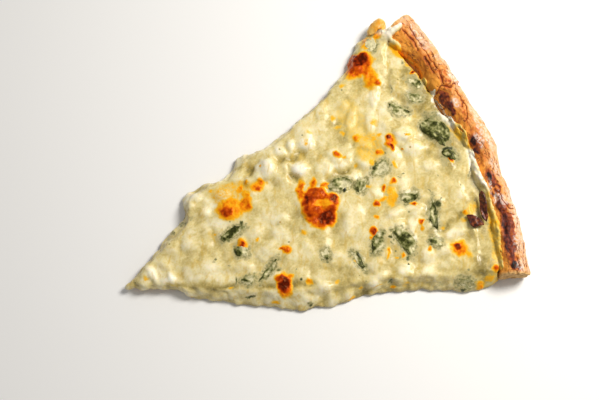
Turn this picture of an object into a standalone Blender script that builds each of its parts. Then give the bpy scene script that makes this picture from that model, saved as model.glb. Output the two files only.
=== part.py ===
"""A large slice of white cheese pizza with spinach and artichoke, cut from a 22 inch pie.

The slice lies flat. Its tip is the centre of the pie, and +X runs from the tip to the crust.
Everything is modelled round that centre first, then moved so that the origin is the middle of
the slice's footprint, on the surface that it rests on.
"""

import math

import bmesh
import bpy
import numpy as np
from mathutils import Vector, noise
from mathutils.bvhtree import BVHTree

MM = 0.001

# Driving sizes of the dough
PIE_RADIUS = 279 * MM
HALF_ANGLE = math.radians(22.0)
BASE_THICKNESS = 4.5 * MM
RIM_RADIUS = 10.5 * MM
RIM_CENTRE_HEIGHT = 8.5 * MM
TIP_ROUNDING = 1.5 * MM

# How far the pie's edge strays from its radius, as (degrees from the slice's middle, offset in mm)
EDGE = [
    (-23, 0.5), (-18, -0.7), (-14.5, -1), (-10, -2.6), (-6.5, -4), (-1.5, 0), (3, -0.7),
    (9, -1.6), (15.5, 2.5), (21.5, 7), (23, 7.5),
]

# How wide the rim is across, as (degrees, mm)
RIM_WIDTH = [(-23, 21), (14, 21), (20, 27), (23, 28)]

# Driving sizes of the topping
TOPPING_THICKNESS = 7.5 * MM
SPILL_FOOT = 2.2 * MM
RIM_FEATHER = 3.0 * MM
RIM_RISE = 2.5 * MM
RIM_FILLET = 7.0 * MM

# Where the cheese stops on the inside of the rim, as (degrees, mm in from the pie's radius)
BORDER = [
    (-23, 17), (-17, 16.5), (-13, 16), (-9, 14.5), (-5.5, 19.5), (-2, 18.5), (1.3, 15.5),
    (3.2, 19.5), (7, 22.5), (9.3, 18.5), (12, 20), (17, 15), (20.5, 18), (23, 16),
]

# How pieces are kept apart and how fine they are
CLEARANCE = 0.6 * MM
BELOW_FLOOR = 1.5 * MM
DOUGH_VOXEL = 1.5 * MM
TOPPING_VOXEL = 1.5 * MM
DOUGH_TRIANGLES = 3800
TOPPING_TRIANGLES = 4300

# How far the melted cheese runs out past each cut, in mm, as (distance from the tip, spill)
FRONT_SPILL = [
    (0, 0.5), (38, 2.5), (46, 8), (62, 9.5), (90, 14.5), (112, 16), (126, 19), (137, 16),
    (152, 14), (163, 10), (180, 8), (206, 5), (236, 8), (251, 5), (258, 1), (280, -1),
]
BACK_SPILL = [
    (0, 0.5), (25, 3), (46, 7), (62, 8.5), (74, 19), (88, 18), (104, 8), (123, 12), (145, 2),
    (167, 0.5), (185, -1), (214, 1), (222, 3), (245, 12), (256, 11), (266, 5), (280, 3),
]

# Where the cheese folds over and starts down towards each spill, in mm past the cut
FRONT_FOLD = [
    (0, -2), (20, 0), (45, 2.5), (80, 3), (105, 4.5), (124, 5.5), (152, 2), (165, 0),
    (192, -2), (219, -2.5), (246, -5), (280, -5),
]
BACK_FOLD = [
    (0, -2), (30, -1), (60, 0), (76, 10), (90, 9), (110, 2), (124, 3), (145, -3), (185, -4),
    (215, -3), (245, 5), (260, 3), (280, -2),
]

# Stretches of each side where the spill hangs clear of the floor, as (from, to, height of its underside)
FRONT_LIFT = (0, 42, 3.6)
BACK_LIFT = (0, 50, 3.0)

# Browned blisters that stand up from the cheese: x, y, half length, half width, turn in degrees, height
BLISTERS = [
    (148, 1, 17, 13, -24, 1.7),
    (141, -4, 12, 10, 20, 0.8),
    (231, 82, 11, 8, 40, 1.8),
    (225, 68, 9, 7, 70, 1.2),
    (89, 20, 10, 8, 30, 1.5),
    (107, 15, 6, 5, 0, 1.0),
    (102, -42, 9, 6, 66, 1.4),
    (89, -4, 5, 5, 0, 1.2),
    (119, -26, 5, 4, 0, 0.8),
    (218, -73, 6, 5, 0, 1.4),
    (212, 18, 6, 4, 60, 0.9),
    (245, -13, 5, 4, 45, 0.9),
]

# Curds and artichoke under the cheese, and the folds in it: x, y, half length, half width, turn, height
LUMPS = [
    (19, 4, 8, 3, 35, 2.0),
    (33, 1, 7, 3, -55, 1.7),
    (42, 12, 9, 5, 20, 1.0),
    (60, 33, 13, 7, 5, 1.5),
    (126, 38, 8, 5, 60, 2.4),
    (138, 37, 7, 4, 60, 2.6),
    (133, 25, 7, 5, 20, 2.2),
    (112, 34, 9, 6, 50, 2.0),
    (160, 52, 10, 7, 0, 1.2),
    (219, 26, 20, 4, -58, 1.9),
    (243, 66, 14, 4, -62, 1.4),
    (254, 20, 12, 4, -72, 1.6),
    (255, -22, 13, 4, -100, 1.8),
    (232, -82, 8, 7, 0, 1.6),
    (196, -30, 11, 8, 10, 1.6),
    (177, -70, 14, 4, -8, 1.0),
    (200, -8, 11, 5, 30, 1.0),
    (60, -12, 15, 8, 0, 0.9),
    (163, -20, 16, 10, 0, 0.8),
]
HOLLOWS = [
    (48, 21, 9, 4, 38, 1.6),
    (120, 44, 9, 4, 20, 2.2),
    (122, 27, 6, 5, 0, 1.8),
    (236, 34, 22, 4, -62, 1.8),
    (228, -62, 9, 5, -30, 1.4),
    (248, -84, 12, 5, 70, 1.6),
    (78, -24, 26, 3, -20, 1.2),
    (150, -58, 24, 3, -14, 1.2),
    (203, -70, 22, 4, -10, 1.0),
]

# Spinach that shows: name, x, y, length, width, turn in degrees
SPINACH = [
    ("leaf_a", 167, 6, 17, 9, -20),
    ("leaf_b", 181, -1, 11, 8, 40),
    ("strip_c", 85, 4, 20, 6, 10),
    ("leaf_d", 86, -11, 10, 8, 0),
    ("leaf_e", 198, 5, 14, 10, 30),
    ("leaf_f", 227, 40, 15, 8, -50),
    ("leaf_g", 241, 43, 11, 7, -60),
    ("leaf_h", 246, 53, 11, 6, -70),
    ("leaf_i", 243, 14, 26, 14, -62),
    ("leaf_j", 246, -6, 12, 7, -40),
    ("leaf_k", 208, -22, 13, 8, 10),
    ("strip_l", 218, -40, 24, 6, -108),
    ("leaf_m", 211, -58, 9, 6, -60),
    ("leaf_n", 175, -43, 17, 8, 40),
    ("leaf_o", 192, -49, 22, 11, -78),
    ("strip_p", 158, -49, 18, 4, -75),
    ("leaf_q", 218, -91, 13, 6, -20),
    ("leaf_r", 83, -31, 11, 6, 0),
    ("strip_s", 99, -30, 18, 4, 28),
    ("leaf_t", 229, 94, 13, 8, 60),
    ("leaf_u", 139, -36, 9, 6, 60),
]
LEAF_LIFT = 0.6 * MM
LEAF_CURL = 0.9 * MM
LEAF_THICKNESS = 0.9 * MM
LEAF_CELLS = 6
LEAF_RAGGED = 0.35
LEAF_SEED = 4.7

# Crisp artichoke petals, and the browned piece of artichoke heart at the back corner
PETALS = [
    ("artichoke_petal_wide", 240.5, -56, 12, 7, -52),
    ("artichoke_petal_long", 250, -49, 21, 5, 77),
]
PETAL_THICKNESS = 1.5 * MM
HEART_PLACE = (239 * MM, 105 * MM, 9.0 * MM)
HEART_SIZE = (8.5 * MM, 6.0 * MM, 5.5 * MM)
HEART_TURN = math.radians(35)

# Splits along the baked crust: from degrees, to degrees, mm in from the edge at each end, depth
CRUST_SPLITS = [
    (9.0, 19.0, 12.0, 6.0, 1.5),
    (1.8, 5.8, 13.0, 7.0, 1.2),
    (-16.5, -12.0, 8.0, 8.5, 1.1),
    (-19.5, -11.5, 12.0, 13.5, 1.3),
    (-9.5, -6.0, 10.0, 12.5, 1.2),
]
SPLIT_HALF_WIDTH = 1.3 * MM

# Where the dough has torn right across the rim, as (degrees, depth)
CRUST_TEARS = [(8.5, 1.8), (20.3, 1.3), (-12.8, 0.9), (-1.0, 0.8)]
TEAR_HALF_WIDTH = 1.4 * MM

COLOURS = {
    "baked crust": ((0.78, 0.47, 0.24), 0.75),
    "melted cheese": ((0.84, 0.78, 0.55), 0.35),
    "cooked spinach": ((0.20, 0.25, 0.14), 0.45),
    "crisped artichoke": ((0.24, 0.10, 0.04), 0.40),
    "artichoke heart": ((0.82, 0.58, 0.32), 0.45),
}


def clear_scene():
    for obj in list(bpy.data.objects):
        bpy.data.objects.remove(obj, do_unlink=True)


def new_collection(name, hidden=False):
    collection = bpy.data.collections.new(name)
    bpy.context.scene.collection.children.link(collection)
    collection.hide_render = hidden
    return collection


def as_helper(obj):
    """A cutter or guide: drawn as wire and left out of the render."""
    obj.hide_render = True
    obj.display_type = "WIRE"
    return obj


def material(name):
    colour, roughness = COLOURS[name]
    made = bpy.data.materials.get(name) or bpy.data.materials.new(name)
    made.use_nodes = True
    shader = made.node_tree.nodes["Principled BSDF"]
    shader.inputs["Base Color"].default_value = (*colour, 1.0)
    shader.inputs["Roughness"].default_value = roughness
    shader.inputs["Metallic"].default_value = 0.0
    return made


def new_object(name, mesh, collection):
    obj = bpy.data.objects.new(name, mesh)
    collection.objects.link(obj)
    return obj


def settle(obj):
    """Applies what the object's modifiers, or its curve, make, and returns a mesh object in its place."""
    bpy.context.view_layer.update()
    graph = bpy.context.evaluated_depsgraph_get()
    mesh = bpy.data.meshes.new_from_object(obj.evaluated_get(graph))
    if obj.type == "MESH":
        obj.modifiers.clear()
        obj.data = mesh
        return obj
    name = obj.name
    collection = obj.users_collection[0]
    matrix = obj.matrix_world.copy()
    bpy.data.objects.remove(obj, do_unlink=True)
    weld(mesh)
    made = new_object(name, mesh, collection)
    made.matrix_world = matrix
    return made


def weld(mesh):
    shape = bmesh.new()
    shape.from_mesh(mesh)
    bmesh.ops.remove_doubles(shape, verts=shape.verts, dist=0.01 * MM)
    bmesh.ops.recalc_face_normals(shape, faces=shape.faces)
    shape.to_mesh(mesh)
    shape.free()


def islands(shape):
    """The vertices of a bmesh, in connected groups."""
    unseen = set(shape.verts)
    groups = []
    while unseen:
        group = [unseen.pop()]
        for vert in group:
            for edge in vert.link_edges:
                other = edge.other_vert(vert)
                if other in unseen:
                    unseen.remove(other)
                    group.append(other)
        groups.append(group)
    return groups


def keep_largest(obj):
    """Drops the loose scraps that a Boolean leaves."""
    shape = bmesh.new()
    shape.from_mesh(obj.data)
    scraps = sorted(islands(shape), key=len)[:-1]
    bmesh.ops.delete(shape, geom=[v for group in scraps for v in group], context="VERTS")
    shape.to_mesh(obj.data)
    shape.free()


def boolean(obj, other, operation, solver="EXACT"):
    cut = obj.modifiers.new(operation.title(), "BOOLEAN")
    cut.operation = operation
    cut.object = other
    cut.solver = solver
    return settle(obj)


def swollen_copy(obj, name, amount, collection):
    """A copy of a solid grown by the same amount all over."""
    copy = new_object(name, obj.data.copy(), collection)
    grow = copy.modifiers.new("Grow", "DISPLACE")
    grow.strength = amount
    grow.mid_level = 0.0
    return as_helper(settle(copy))


def remesh(obj, voxel):
    even = obj.modifiers.new("Even mesh", "REMESH")
    even.mode = "VOXEL"
    even.voxel_size = voxel
    return settle(obj)


def soften(obj, times):
    smooth = obj.modifiers.new("Soften", "SMOOTH")
    smooth.factor = 0.5
    smooth.iterations = times
    return settle(obj)


def thin_out(obj, triangles):
    """Fewer triangles, kept where the surface bends most."""
    present = sum(len(face.vertices) - 2 for face in obj.data.polygons)
    fewer = obj.modifiers.new("Fewer faces", "DECIMATE")
    fewer.ratio = min(1.0, triangles / present)
    return settle(obj)


def read_points(obj):
    points = np.empty(len(obj.data.vertices) * 3)
    obj.data.vertices.foreach_get("co", points)
    return points.reshape(-1, 3)


def write_points(obj, points):
    obj.data.vertices.foreach_set("co", points.ravel())
    obj.data.update()


def read_normals(obj):
    normals = np.empty(len(obj.data.vertices) * 3)
    obj.data.vertices.foreach_get("normal", normals)
    return normals.reshape(-1, 3)


def ease(t):
    t = np.clip(t, 0.0, 1.0)
    return t * t * (3 - 2 * t)


def grain(points, size, seed):
    """Smooth noise from -1 to 1 whose lumps are about this size."""
    shift = Vector((seed, seed * 1.7, seed * 0.6))
    return np.array([noise.noise(Vector(p) / size + shift) for p in points])


def mounds(x, y, rows):
    """The height of a set of rounded, turned ellipses. Each row is in millimetres and degrees."""
    height = np.zeros_like(x)
    for place_x, place_y, half_length, half_width, turn, rise in rows:
        dx = x - place_x * MM
        dy = y - place_y * MM
        angle = math.radians(turn)
        along = (dx * math.cos(angle) + dy * math.sin(angle)) / (half_length * MM)
        across = (dy * math.cos(angle) - dx * math.sin(angle)) / (half_width * MM)
        height += rise * MM * np.exp(-1.6 * (along**2 + across**2))
    return height


def read_table(place, table):
    """The value at a place, eased between the table's rows. The places run up; the values are in mm."""
    places = np.array([row[0] for row in table], float)
    values = np.array([row[1] for row in table]) * MM
    place = np.clip(place, places[0], places[-1])
    index = np.clip(np.searchsorted(places, place, side="right") - 1, 0, len(places) - 2)
    share = ease((place - places[index]) / (places[index + 1] - places[index]))
    return values[index] + (values[index + 1] - values[index]) * share


def beside_cut(x, y, side):
    """Distance from the tip along a cut, and distance out past it. side is -1 for the front and 1 for the back."""
    along = x * math.cos(HALF_ANGLE) + side * y * math.sin(HALF_ANGLE)
    past = -x * math.sin(HALF_ANGLE) + side * y * math.cos(HALF_ANGLE)
    return along, past


def edge_radius(angle):
    return PIE_RADIUS + read_table(np.degrees(angle), EDGE)


def higher(first, second, fillet):
    """The higher of two heights, with a hollow fillet where they cross."""
    near = np.clip(1 - np.abs(first - second) / fillet, 0.0, 1.0)
    return np.maximum(first, second) + near**2 * fillet / 4


def flat_outline(name, points, half_height, collection):
    """A closed flat outline, extruded both ways from its plane."""
    curve = bpy.data.curves.new(name, "CURVE")
    curve.dimensions = "2D"
    curve.fill_mode = "BOTH"
    curve.extrude = half_height
    spline = curve.splines.new("POLY")
    spline.points.add(len(points) - 1)
    for point, (x, y) in zip(spline.points, points):
        point.co = (x, y, 0.0, 1.0)
    spline.use_cyclic_u = True
    return new_object(name, curve, collection)


def dough_outline():
    """The flat base's edge: a rounded tip, two cuts and the arc under the rim."""
    points = []
    tip_centre = TIP_ROUNDING / math.sin(HALF_ANGLE)
    for step in range(5):
        angle = math.pi - (math.pi / 2 - HALF_ANGLE) * (step - 2) / 2
        points.append(
            (tip_centre + TIP_ROUNDING * math.cos(angle), TIP_ROUNDING * math.sin(angle))
        )
    points.reverse()
    for step in range(25):
        angle = HALF_ANGLE * (1 - step / 12)
        radius = float(edge_radius(angle)) - RIM_RADIUS
        points.append((radius * math.cos(angle), radius * math.sin(angle)))
    return points


def make_base(collection):
    height = BASE_THICKNESS + BELOW_FLOOR
    base = flat_outline("base", dough_outline(), height / 2, collection)
    base.location.z = BASE_THICKNESS - height / 2
    return settle(base)


def make_rim(collection):
    """The raised edge: a tube of uneven thickness along the arc."""
    curve = bpy.data.curves.new("rim", "CURVE")
    curve.dimensions = "3D"
    curve.bevel_depth = RIM_RADIUS
    curve.bevel_resolution = 6
    curve.use_fill_caps = True
    spline = curve.splines.new("POLY")
    steps = 60
    spline.points.add(steps)
    for step, point in enumerate(spline.points):
        angle = HALF_ANGLE * (2 * step / steps - 1)
        swell = 1 + 0.05 * math.sin(angle * 17 + 1.1) + 0.04 * math.sin(angle * 39)
        radius = float(edge_radius(angle)) - RIM_RADIUS * swell
        point.co = (radius * math.cos(angle), radius * math.sin(angle), RIM_CENTRE_HEIGHT, 1.0)
        point.radius = swell
    rim = settle(new_object("rim", curve, collection))
    points = read_points(rim)
    angle = np.arctan2(points[:, 1], points[:, 0])
    radius = np.hypot(points[:, 0], points[:, 1])
    wider = read_table(np.degrees(angle), RIM_WIDTH) / (2 * RIM_RADIUS)
    moved = edge_radius(angle) - (edge_radius(angle) - radius) * wider
    points[:, :2] *= (moved / radius)[:, None]
    write_points(rim, points)
    return rim


def joined(first, second):
    """Both meshes in the first object, still as separate shells."""
    shape = bmesh.new()
    for obj in (first, second):
        mesh = obj.data.copy()
        mesh.transform(obj.matrix_world)
        shape.from_mesh(mesh)
        bpy.data.meshes.remove(mesh)
    shape.to_mesh(first.data)
    shape.free()
    first.matrix_world.identity()
    bpy.data.objects.remove(second, do_unlink=True)
    return first


def crust_grooves(points):
    """How deep the splits along the rim and the tears across it cut."""
    radius = np.hypot(points[:, 0], points[:, 1])
    angle = np.degrees(np.arctan2(points[:, 1], points[:, 0]))
    inset = edge_radius(np.radians(angle)) - radius
    depth = np.zeros(len(points))
    for start, end, inset_start, inset_end, deep in CRUST_SPLITS:
        share = (angle - start) / (end - start)
        where = (inset_start + (inset_end - inset_start) * share) * MM
        wander = 1.3 * MM * np.sin(angle * 1.9 + start)
        across = np.abs(inset - where - wander) / SPLIT_HALF_WIDTH
        ends = ease((angle - start) / 1.2) * ease((end - angle) / 1.2)
        depth += deep * MM * ends * ease(1 - across)
    for where, deep in CRUST_TEARS:
        wander = 2.0 * MM * np.sin(inset / MM * 0.45 + where)
        across = np.abs(radius * np.radians(angle - where) + wander) / TEAR_HALF_WIDTH
        depth += deep * MM * ease(1 - across)
    return depth * ease((points[:, 2] - 8 * MM) / (4 * MM))


def make_crust(parts, cutters):
    """The dough: a thin base and a puffed, cracked rim, in one piece."""
    crust = joined(make_rim(parts), make_base(parts))
    crust.name = "crust"
    remesh(crust, DOUGH_VOXEL)
    soften(crust, 2)
    points = read_points(crust)
    normals = read_normals(crust)
    radius = np.hypot(points[:, 0], points[:, 1])
    on_rim = ease((radius - PIE_RADIUS + 30 * MM) / (8 * MM))
    puff = 0.9 * grain(points, 22 * MM, 3.1) + 0.6 * grain(points, 9 * MM, 8.3)
    crumb = 0.35 * grain(points, 4 * MM, 5.5)
    relief = (on_rim * puff + crumb) * MM - crust_grooves(points)
    write_points(crust, points + normals * relief[:, None])
    thin_out(crust, DOUGH_TRIANGLES)
    return crust, swollen_copy(crust, "crust keep-out", CLEARANCE, cutters)


def topping_outline():
    """The edge of the cheese: out along the front cut, round inside the rim and back along the other cut."""
    reach = PIE_RADIUS - 17 * MM
    steps = 90
    front, back = [], []
    for step in range(steps + 1):
        along = reach * step / steps
        for side, table, row in ((-1, FRONT_SPILL, front), (1, BACK_SPILL, back)):
            ripple = 0.6 * MM * noise.noise(Vector((along / (7 * MM), side * 3.0, 0.5)))
            past = float(read_table(along / MM, table)) + ripple
            x = along * math.cos(HALF_ANGLE) - past * math.sin(HALF_ANGLE)
            y = side * (along * math.sin(HALF_ANGLE) + past * math.cos(HALF_ANGLE))
            row.append((x, y))
    arc = []
    for step in range(2, 79):
        angle = HALF_ANGLE * (step / 40 - 1)
        ragged = 0.8 * MM * noise.noise(Vector((math.degrees(angle) * 1.3, 4.0, 1.0)))
        radius = PIE_RADIUS - float(read_table(math.degrees(angle), BORDER)) + ragged
        arc.append((radius * math.cos(angle), radius * math.sin(angle)))
    nose = [(-1.5 * MM, 0.0)]
    return nose + front + arc + back[::-1]


def dough_height(x, y):
    """The height of the dough under the cheese: flat, then up the inside of the rim."""
    inset = edge_radius(np.arctan2(y, x)) - np.hypot(x, y)
    half_width = read_table(np.degrees(np.arctan2(y, x)), RIM_WIDTH) / 2
    across = np.clip(inset / half_width - 1, -0.98, 1.0)
    rim = RIM_CENTRE_HEIGHT + RIM_RADIUS * np.sqrt(1 - across**2)
    return np.where(inset < 2 * half_width, np.maximum(rim, BASE_THICKNESS), BASE_THICKNESS)


def cheese_height(points):
    """The top of the cheese: over the dough, sloping down where it spills past a cut."""
    x, y = points[:, 0], points[:, 1]
    flat = points * np.array([1.0, 1.0, 0.0])
    inset = PIE_RADIUS - np.hypot(x, y)
    depth = TOPPING_THICKNESS * (0.72 + 0.28 * ease(x / (60 * MM)))
    depth += RIM_RISE * ease((50 * MM - inset) / (30 * MM))
    top = higher(BASE_THICKNESS + depth, dough_height(x, y) + RIM_FEATHER, RIM_FILLET)
    uneven = 0.9 * grain(flat, 24 * MM, 1.3) + 0.7 * grain(flat, 11 * MM, 6.1)
    uneven += 0.35 * grain(flat, 6 * MM, 9.4)
    top += uneven * MM * (0.3 + 0.7 * ease((inset - 20 * MM) / (12 * MM)))
    top += mounds(x, y, BLISTERS) + mounds(x, y, LUMPS) - mounds(x, y, HOLLOWS)
    for side, spills, folds in ((-1, FRONT_SPILL, FRONT_FOLD), (1, BACK_SPILL, BACK_FOLD)):
        along, past = beside_cut(x, y, side)
        spill = np.maximum(read_table(along / MM, spills), 0.0)
        fold = np.minimum(read_table(along / MM, folds), spill - 1.5 * MM)
        share = np.clip((past - fold) / (spill - fold + 0.6 * MM), 0.0, 1.0)
        drop = share**1.25 * (1 - 0.2 * share) / 0.8
        foot = np.where(spill > 4 * MM, SPILL_FOOT, BASE_THICKNESS)
        top = top * (1 - drop) + np.minimum(foot, top) * drop
    return top


def cheese_underside(points):
    """The bottom of the spilled cheese: on the floor, or hanging clear of it near the tip."""
    bottom = np.full(len(points), -BELOW_FLOOR)
    for side, (start, end, height) in ((-1, FRONT_LIFT), (1, BACK_LIFT)):
        along, past = beside_cut(points[:, 0], points[:, 1], side)
        share = ease((end * MM - along) / (8 * MM)) * (along > start * MM - 0.01)
        lifted = share * ease((past + 5 * MM) / (3 * MM))
        bottom = np.maximum(bottom, -BELOW_FLOOR + (height * MM + BELOW_FLOOR) * lifted)
    return bottom


def make_cheese(parts, keep_out):
    """The topping: one thick lumpy sheet of melted cheese that drapes over both cuts."""
    block_height = 12 * MM
    cheese = settle(flat_outline("cheese", topping_outline(), block_height / 2, parts))
    remesh(cheese, TOPPING_VOXEL)
    points = read_points(cheese)
    share = np.clip(points[:, 2] / block_height + 0.5, 0.0, 1.0)
    top = cheese_height(points)
    bottom = cheese_underside(points)
    points[:, 2] = bottom + (top - bottom) * share
    write_points(cheese, points)
    soften(cheese, 2)
    thin_out(cheese, TOPPING_TRIANGLES)
    boolean(cheese, keep_out, "DIFFERENCE", "MANIFOLD")
    keep_largest(cheese)
    return cheese


def leaf_sheet(length, width, turn, seed):
    """A flat grid pulled into a torn leaf's shape: a long oval with an uneven edge and a slight bend."""
    shape = bmesh.new()
    bmesh.ops.create_grid(shape, x_segments=LEAF_CELLS, y_segments=LEAF_CELLS - 2, size=1.0)
    bmesh.ops.triangulate(shape, faces=shape.faces)
    slant = math.radians(turn)
    for vert in shape.verts:
        u, v, _ = vert.co
        disc = Vector((u * math.sqrt(1 - v * v / 2), v * math.sqrt(1 - u * u / 2), seed))
        ragged = 1 + LEAF_RAGGED * noise.noise(disc * 2.4)
        along = length / 2 * disc.x * ragged
        across = width / 2 * disc.y * ragged + 0.12 * width * math.cos(2.5 * disc.x + seed)
        vert.co.x = (along * math.cos(slant) - across * math.sin(slant)) * MM
        vert.co.y = (along * math.sin(slant) + across * math.cos(slant)) * MM
        vert.co.z = LEAF_CURL * (u * u * v * v + 0.5 * abs(noise.noise(disc * 1.7)))
    return shape


def make_flake(name, row, seed, thickness, surface, parts):
    """A thin piece that lies on the cheese and follows its lumps, with both faces alike."""
    x, y, length, width, turn = row
    shape = leaf_sheet(length, width, turn, seed)
    for vert in shape.verts:
        above = Vector((x * MM + vert.co.x, y * MM + vert.co.y, 0.1))
        hit, normal, _, _ = surface.ray_cast(above, Vector((0.0, 0.0, -1.0)))
        if hit is None:
            hit, normal, _, _ = surface.find_nearest(above.xy.to_3d())
        steep = max(abs(normal.z), 0.5)
        vert.co = above.xy.to_3d() + Vector((0.0, 0.0, hit.z + vert.co.z + LEAF_LIFT / steep))
    mesh = bpy.data.meshes.new(name)
    shape.to_mesh(mesh)
    shape.free()
    flake = new_object(name, mesh, parts)
    sheet = flake.modifiers.new("Thickness", "SOLIDIFY")
    sheet.thickness = thickness
    sheet.offset = 1.0
    return settle(flake)


def make_heart(parts, keep_out, cheese, cutters):
    """The piece of artichoke heart that sits on the cheese's edge by the back corner."""
    bpy.ops.mesh.primitive_ico_sphere_add(subdivisions=3, radius=1.0)
    heart = bpy.context.object
    heart.name = "artichoke_heart"
    for collection in list(heart.users_collection):
        collection.objects.unlink(heart)
    parts.objects.link(heart)
    points = read_points(heart)
    bulge = 1 + 0.16 * grain(points, 0.9, 2.2)
    points = points * bulge[:, None] * np.array(HEART_SIZE)
    turned = points.copy()
    turned[:, 0] = points[:, 0] * math.cos(HEART_TURN) - points[:, 1] * math.sin(HEART_TURN)
    turned[:, 1] = points[:, 0] * math.sin(HEART_TURN) + points[:, 1] * math.cos(HEART_TURN)
    write_points(heart, turned + np.array(HEART_PLACE))
    boolean(heart, keep_out, "DIFFERENCE")
    boolean(heart, swollen_copy(cheese, "cheese keep-out", CLEARANCE, cutters), "DIFFERENCE")
    keep_largest(heart)
    return heart


def make_floor_cutter(cutters):
    """A block under the floor, which trims every piece to one flat underside."""
    bpy.ops.mesh.primitive_cube_add(size=1.0)
    block = bpy.context.object
    block.name = "below the floor"
    for collection in list(block.users_collection):
        collection.objects.unlink(block)
    cutters.objects.link(block)
    block.scale = (0.8, 0.8, 0.1)
    block.location = (PIE_RADIUS / 2, 0.0, -0.05)
    return as_helper(block)


def centre_on_footprint(objects):
    """Moves all pieces so that the origin is the middle of the footprint, at floor level."""
    corners = np.vstack([read_points(obj) for obj in objects])
    low, high = corners.min(axis=0), corners.max(axis=0)
    shift = np.array([(low[0] + high[0]) / 2, (low[1] + high[1]) / 2, low[2]])
    for obj in objects:
        write_points(obj, read_points(obj) - shift)
    print("the pie's centre is at", np.round(-shift * 1000, 2), "mm")


def dress(obj, name):
    obj.data.materials.clear()
    obj.data.materials.append(material(name))
    obj.data.shade_smooth()


def main():
    clear_scene()
    parts = new_collection("Pizza slice")
    cutters = new_collection("Cutters", hidden=True)
    crust, crust_keep_out = make_crust(parts, cutters)
    cheese = make_cheese(parts, crust_keep_out)
    surface = BVHTree.FromPolygons(
        [vert.co for vert in cheese.data.vertices],
        [face.vertices[:] for face in cheese.data.polygons],
    )
    floor = make_floor_cutter(cutters)
    made = []
    for number, (name, *row) in enumerate(SPINACH):
        seed = LEAF_SEED + number
        leaf = make_flake("spinach_" + name, row, seed, LEAF_THICKNESS, surface, parts)
        dress(leaf, "cooked spinach")
        made.append(leaf)
    for number, (name, *row) in enumerate(PETALS):
        seed = LEAF_SEED - 2 - number
        petal = make_flake(name, row, seed, PETAL_THICKNESS, surface, parts)
        dress(petal, "crisped artichoke")
        made.append(petal)
    heart = make_heart(parts, crust_keep_out, cheese, cutters)
    dress(heart, "artichoke heart")
    made.append(heart)
    for obj, name in ((crust, "baked crust"), (cheese, "melted cheese")):
        boolean(obj, floor, "DIFFERENCE")
        keep_largest(obj)
        dress(obj, name)
    centre_on_footprint([crust, cheese, *made])


main()
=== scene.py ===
# %% [markdown]
# # A slice of white pizza
#
# This lesson dresses the plain solids of a pizza slice: a dough base with a puffed rim, one thick
# layer of melted white cheese, cooked spinach and a little artichoke. The solids give every place
# and size. Here each one is copied, given a fine mesh, shaped in detail and painted.

import math
import random

import bpy
import numpy as np
from mathutils import Matrix, Vector, noise
from mathutils.bvhtree import BVHTree
from mathutils.kdtree import KDTree


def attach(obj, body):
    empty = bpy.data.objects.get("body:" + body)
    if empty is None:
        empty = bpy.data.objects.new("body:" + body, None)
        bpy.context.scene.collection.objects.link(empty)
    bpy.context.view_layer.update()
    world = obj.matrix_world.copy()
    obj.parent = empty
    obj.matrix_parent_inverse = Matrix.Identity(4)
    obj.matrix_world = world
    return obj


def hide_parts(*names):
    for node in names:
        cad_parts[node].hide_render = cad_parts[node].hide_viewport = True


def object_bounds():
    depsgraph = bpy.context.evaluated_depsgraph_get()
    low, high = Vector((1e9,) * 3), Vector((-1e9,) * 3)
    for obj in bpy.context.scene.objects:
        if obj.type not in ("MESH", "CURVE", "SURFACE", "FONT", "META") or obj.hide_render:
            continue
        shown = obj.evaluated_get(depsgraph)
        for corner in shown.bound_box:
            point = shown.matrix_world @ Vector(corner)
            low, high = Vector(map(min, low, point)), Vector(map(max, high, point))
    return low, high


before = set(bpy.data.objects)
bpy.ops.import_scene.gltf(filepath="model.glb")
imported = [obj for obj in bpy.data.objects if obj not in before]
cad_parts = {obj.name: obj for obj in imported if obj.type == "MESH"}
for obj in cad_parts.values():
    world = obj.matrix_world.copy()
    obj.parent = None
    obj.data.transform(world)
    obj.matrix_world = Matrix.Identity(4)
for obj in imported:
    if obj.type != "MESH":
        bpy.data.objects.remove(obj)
cad_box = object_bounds()
cad_sides = [round(side * 1000, 1) for side in cad_box[1] - cad_box[0]]
print("solids:", len(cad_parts), "box in mm:", cad_sides)

# %% [markdown]
# ## Places on the slice
#
# Every spot on the slice is named in millimetres from its tip, which was the middle of the pie: X
# runs to the crust and Y to the back edge. On the rim it's easier to think in degrees round the pie
# and in millimetres in from its edge, so there is a function for each.

# %% Units and places
MM = 0.001
PIE_CENTRE = np.array((-138.77, -4.19, 0.0))
PIE_RADIUS = 279.0
HALF_ANGLE = math.radians(22.0)


def from_tip(points):
    """Points of the model in metres, as millimetres from the slice's tip."""
    return np.asarray(points) / MM - PIE_CENTRE


def to_model(places):
    """Millimetres from the slice's tip, as points of the model in metres."""
    return (np.asarray(places, float) + PIE_CENTRE) * MM


def round_pie(places):
    """Degrees round the pie from the slice's middle line, and millimetres in from the pie's radius."""
    degrees = np.degrees(np.arctan2(places[:, 1], places[:, 0]))
    return degrees, PIE_RADIUS - np.hypot(places[:, 0], places[:, 1])


def in_from_cuts(places):
    """Millimetres in from the nearer of the two straight cuts."""
    return places[:, 0] * math.sin(HALF_ANGLE) - np.abs(places[:, 1]) * math.cos(HALF_ANGLE)


# %% [markdown]
# ## Camera
#
# The picture was taken from almost straight above, with the slice turned in the frame. The camera
# is set by where it looks, how steeply, how far away it is and how much it is rolled. It comes
# first, because the browned spots below are laid out as this camera sees them.

# %% Camera
LOOKS_AT = (137.4, 8.0, 8.0)
ELEVATION = math.radians(74.0)
ROLL = math.radians(-23.2)
DISTANCE = 588 * MM

towards_camera = Vector((0.0, -math.cos(ELEVATION), math.sin(ELEVATION)))
level = Vector((1.0, 0.0, 0.0))
upwards = towards_camera.cross(level)
picture_right = level * math.cos(ROLL) + upwards * math.sin(ROLL)
picture_up = upwards * math.cos(ROLL) - level * math.sin(ROLL)

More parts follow.
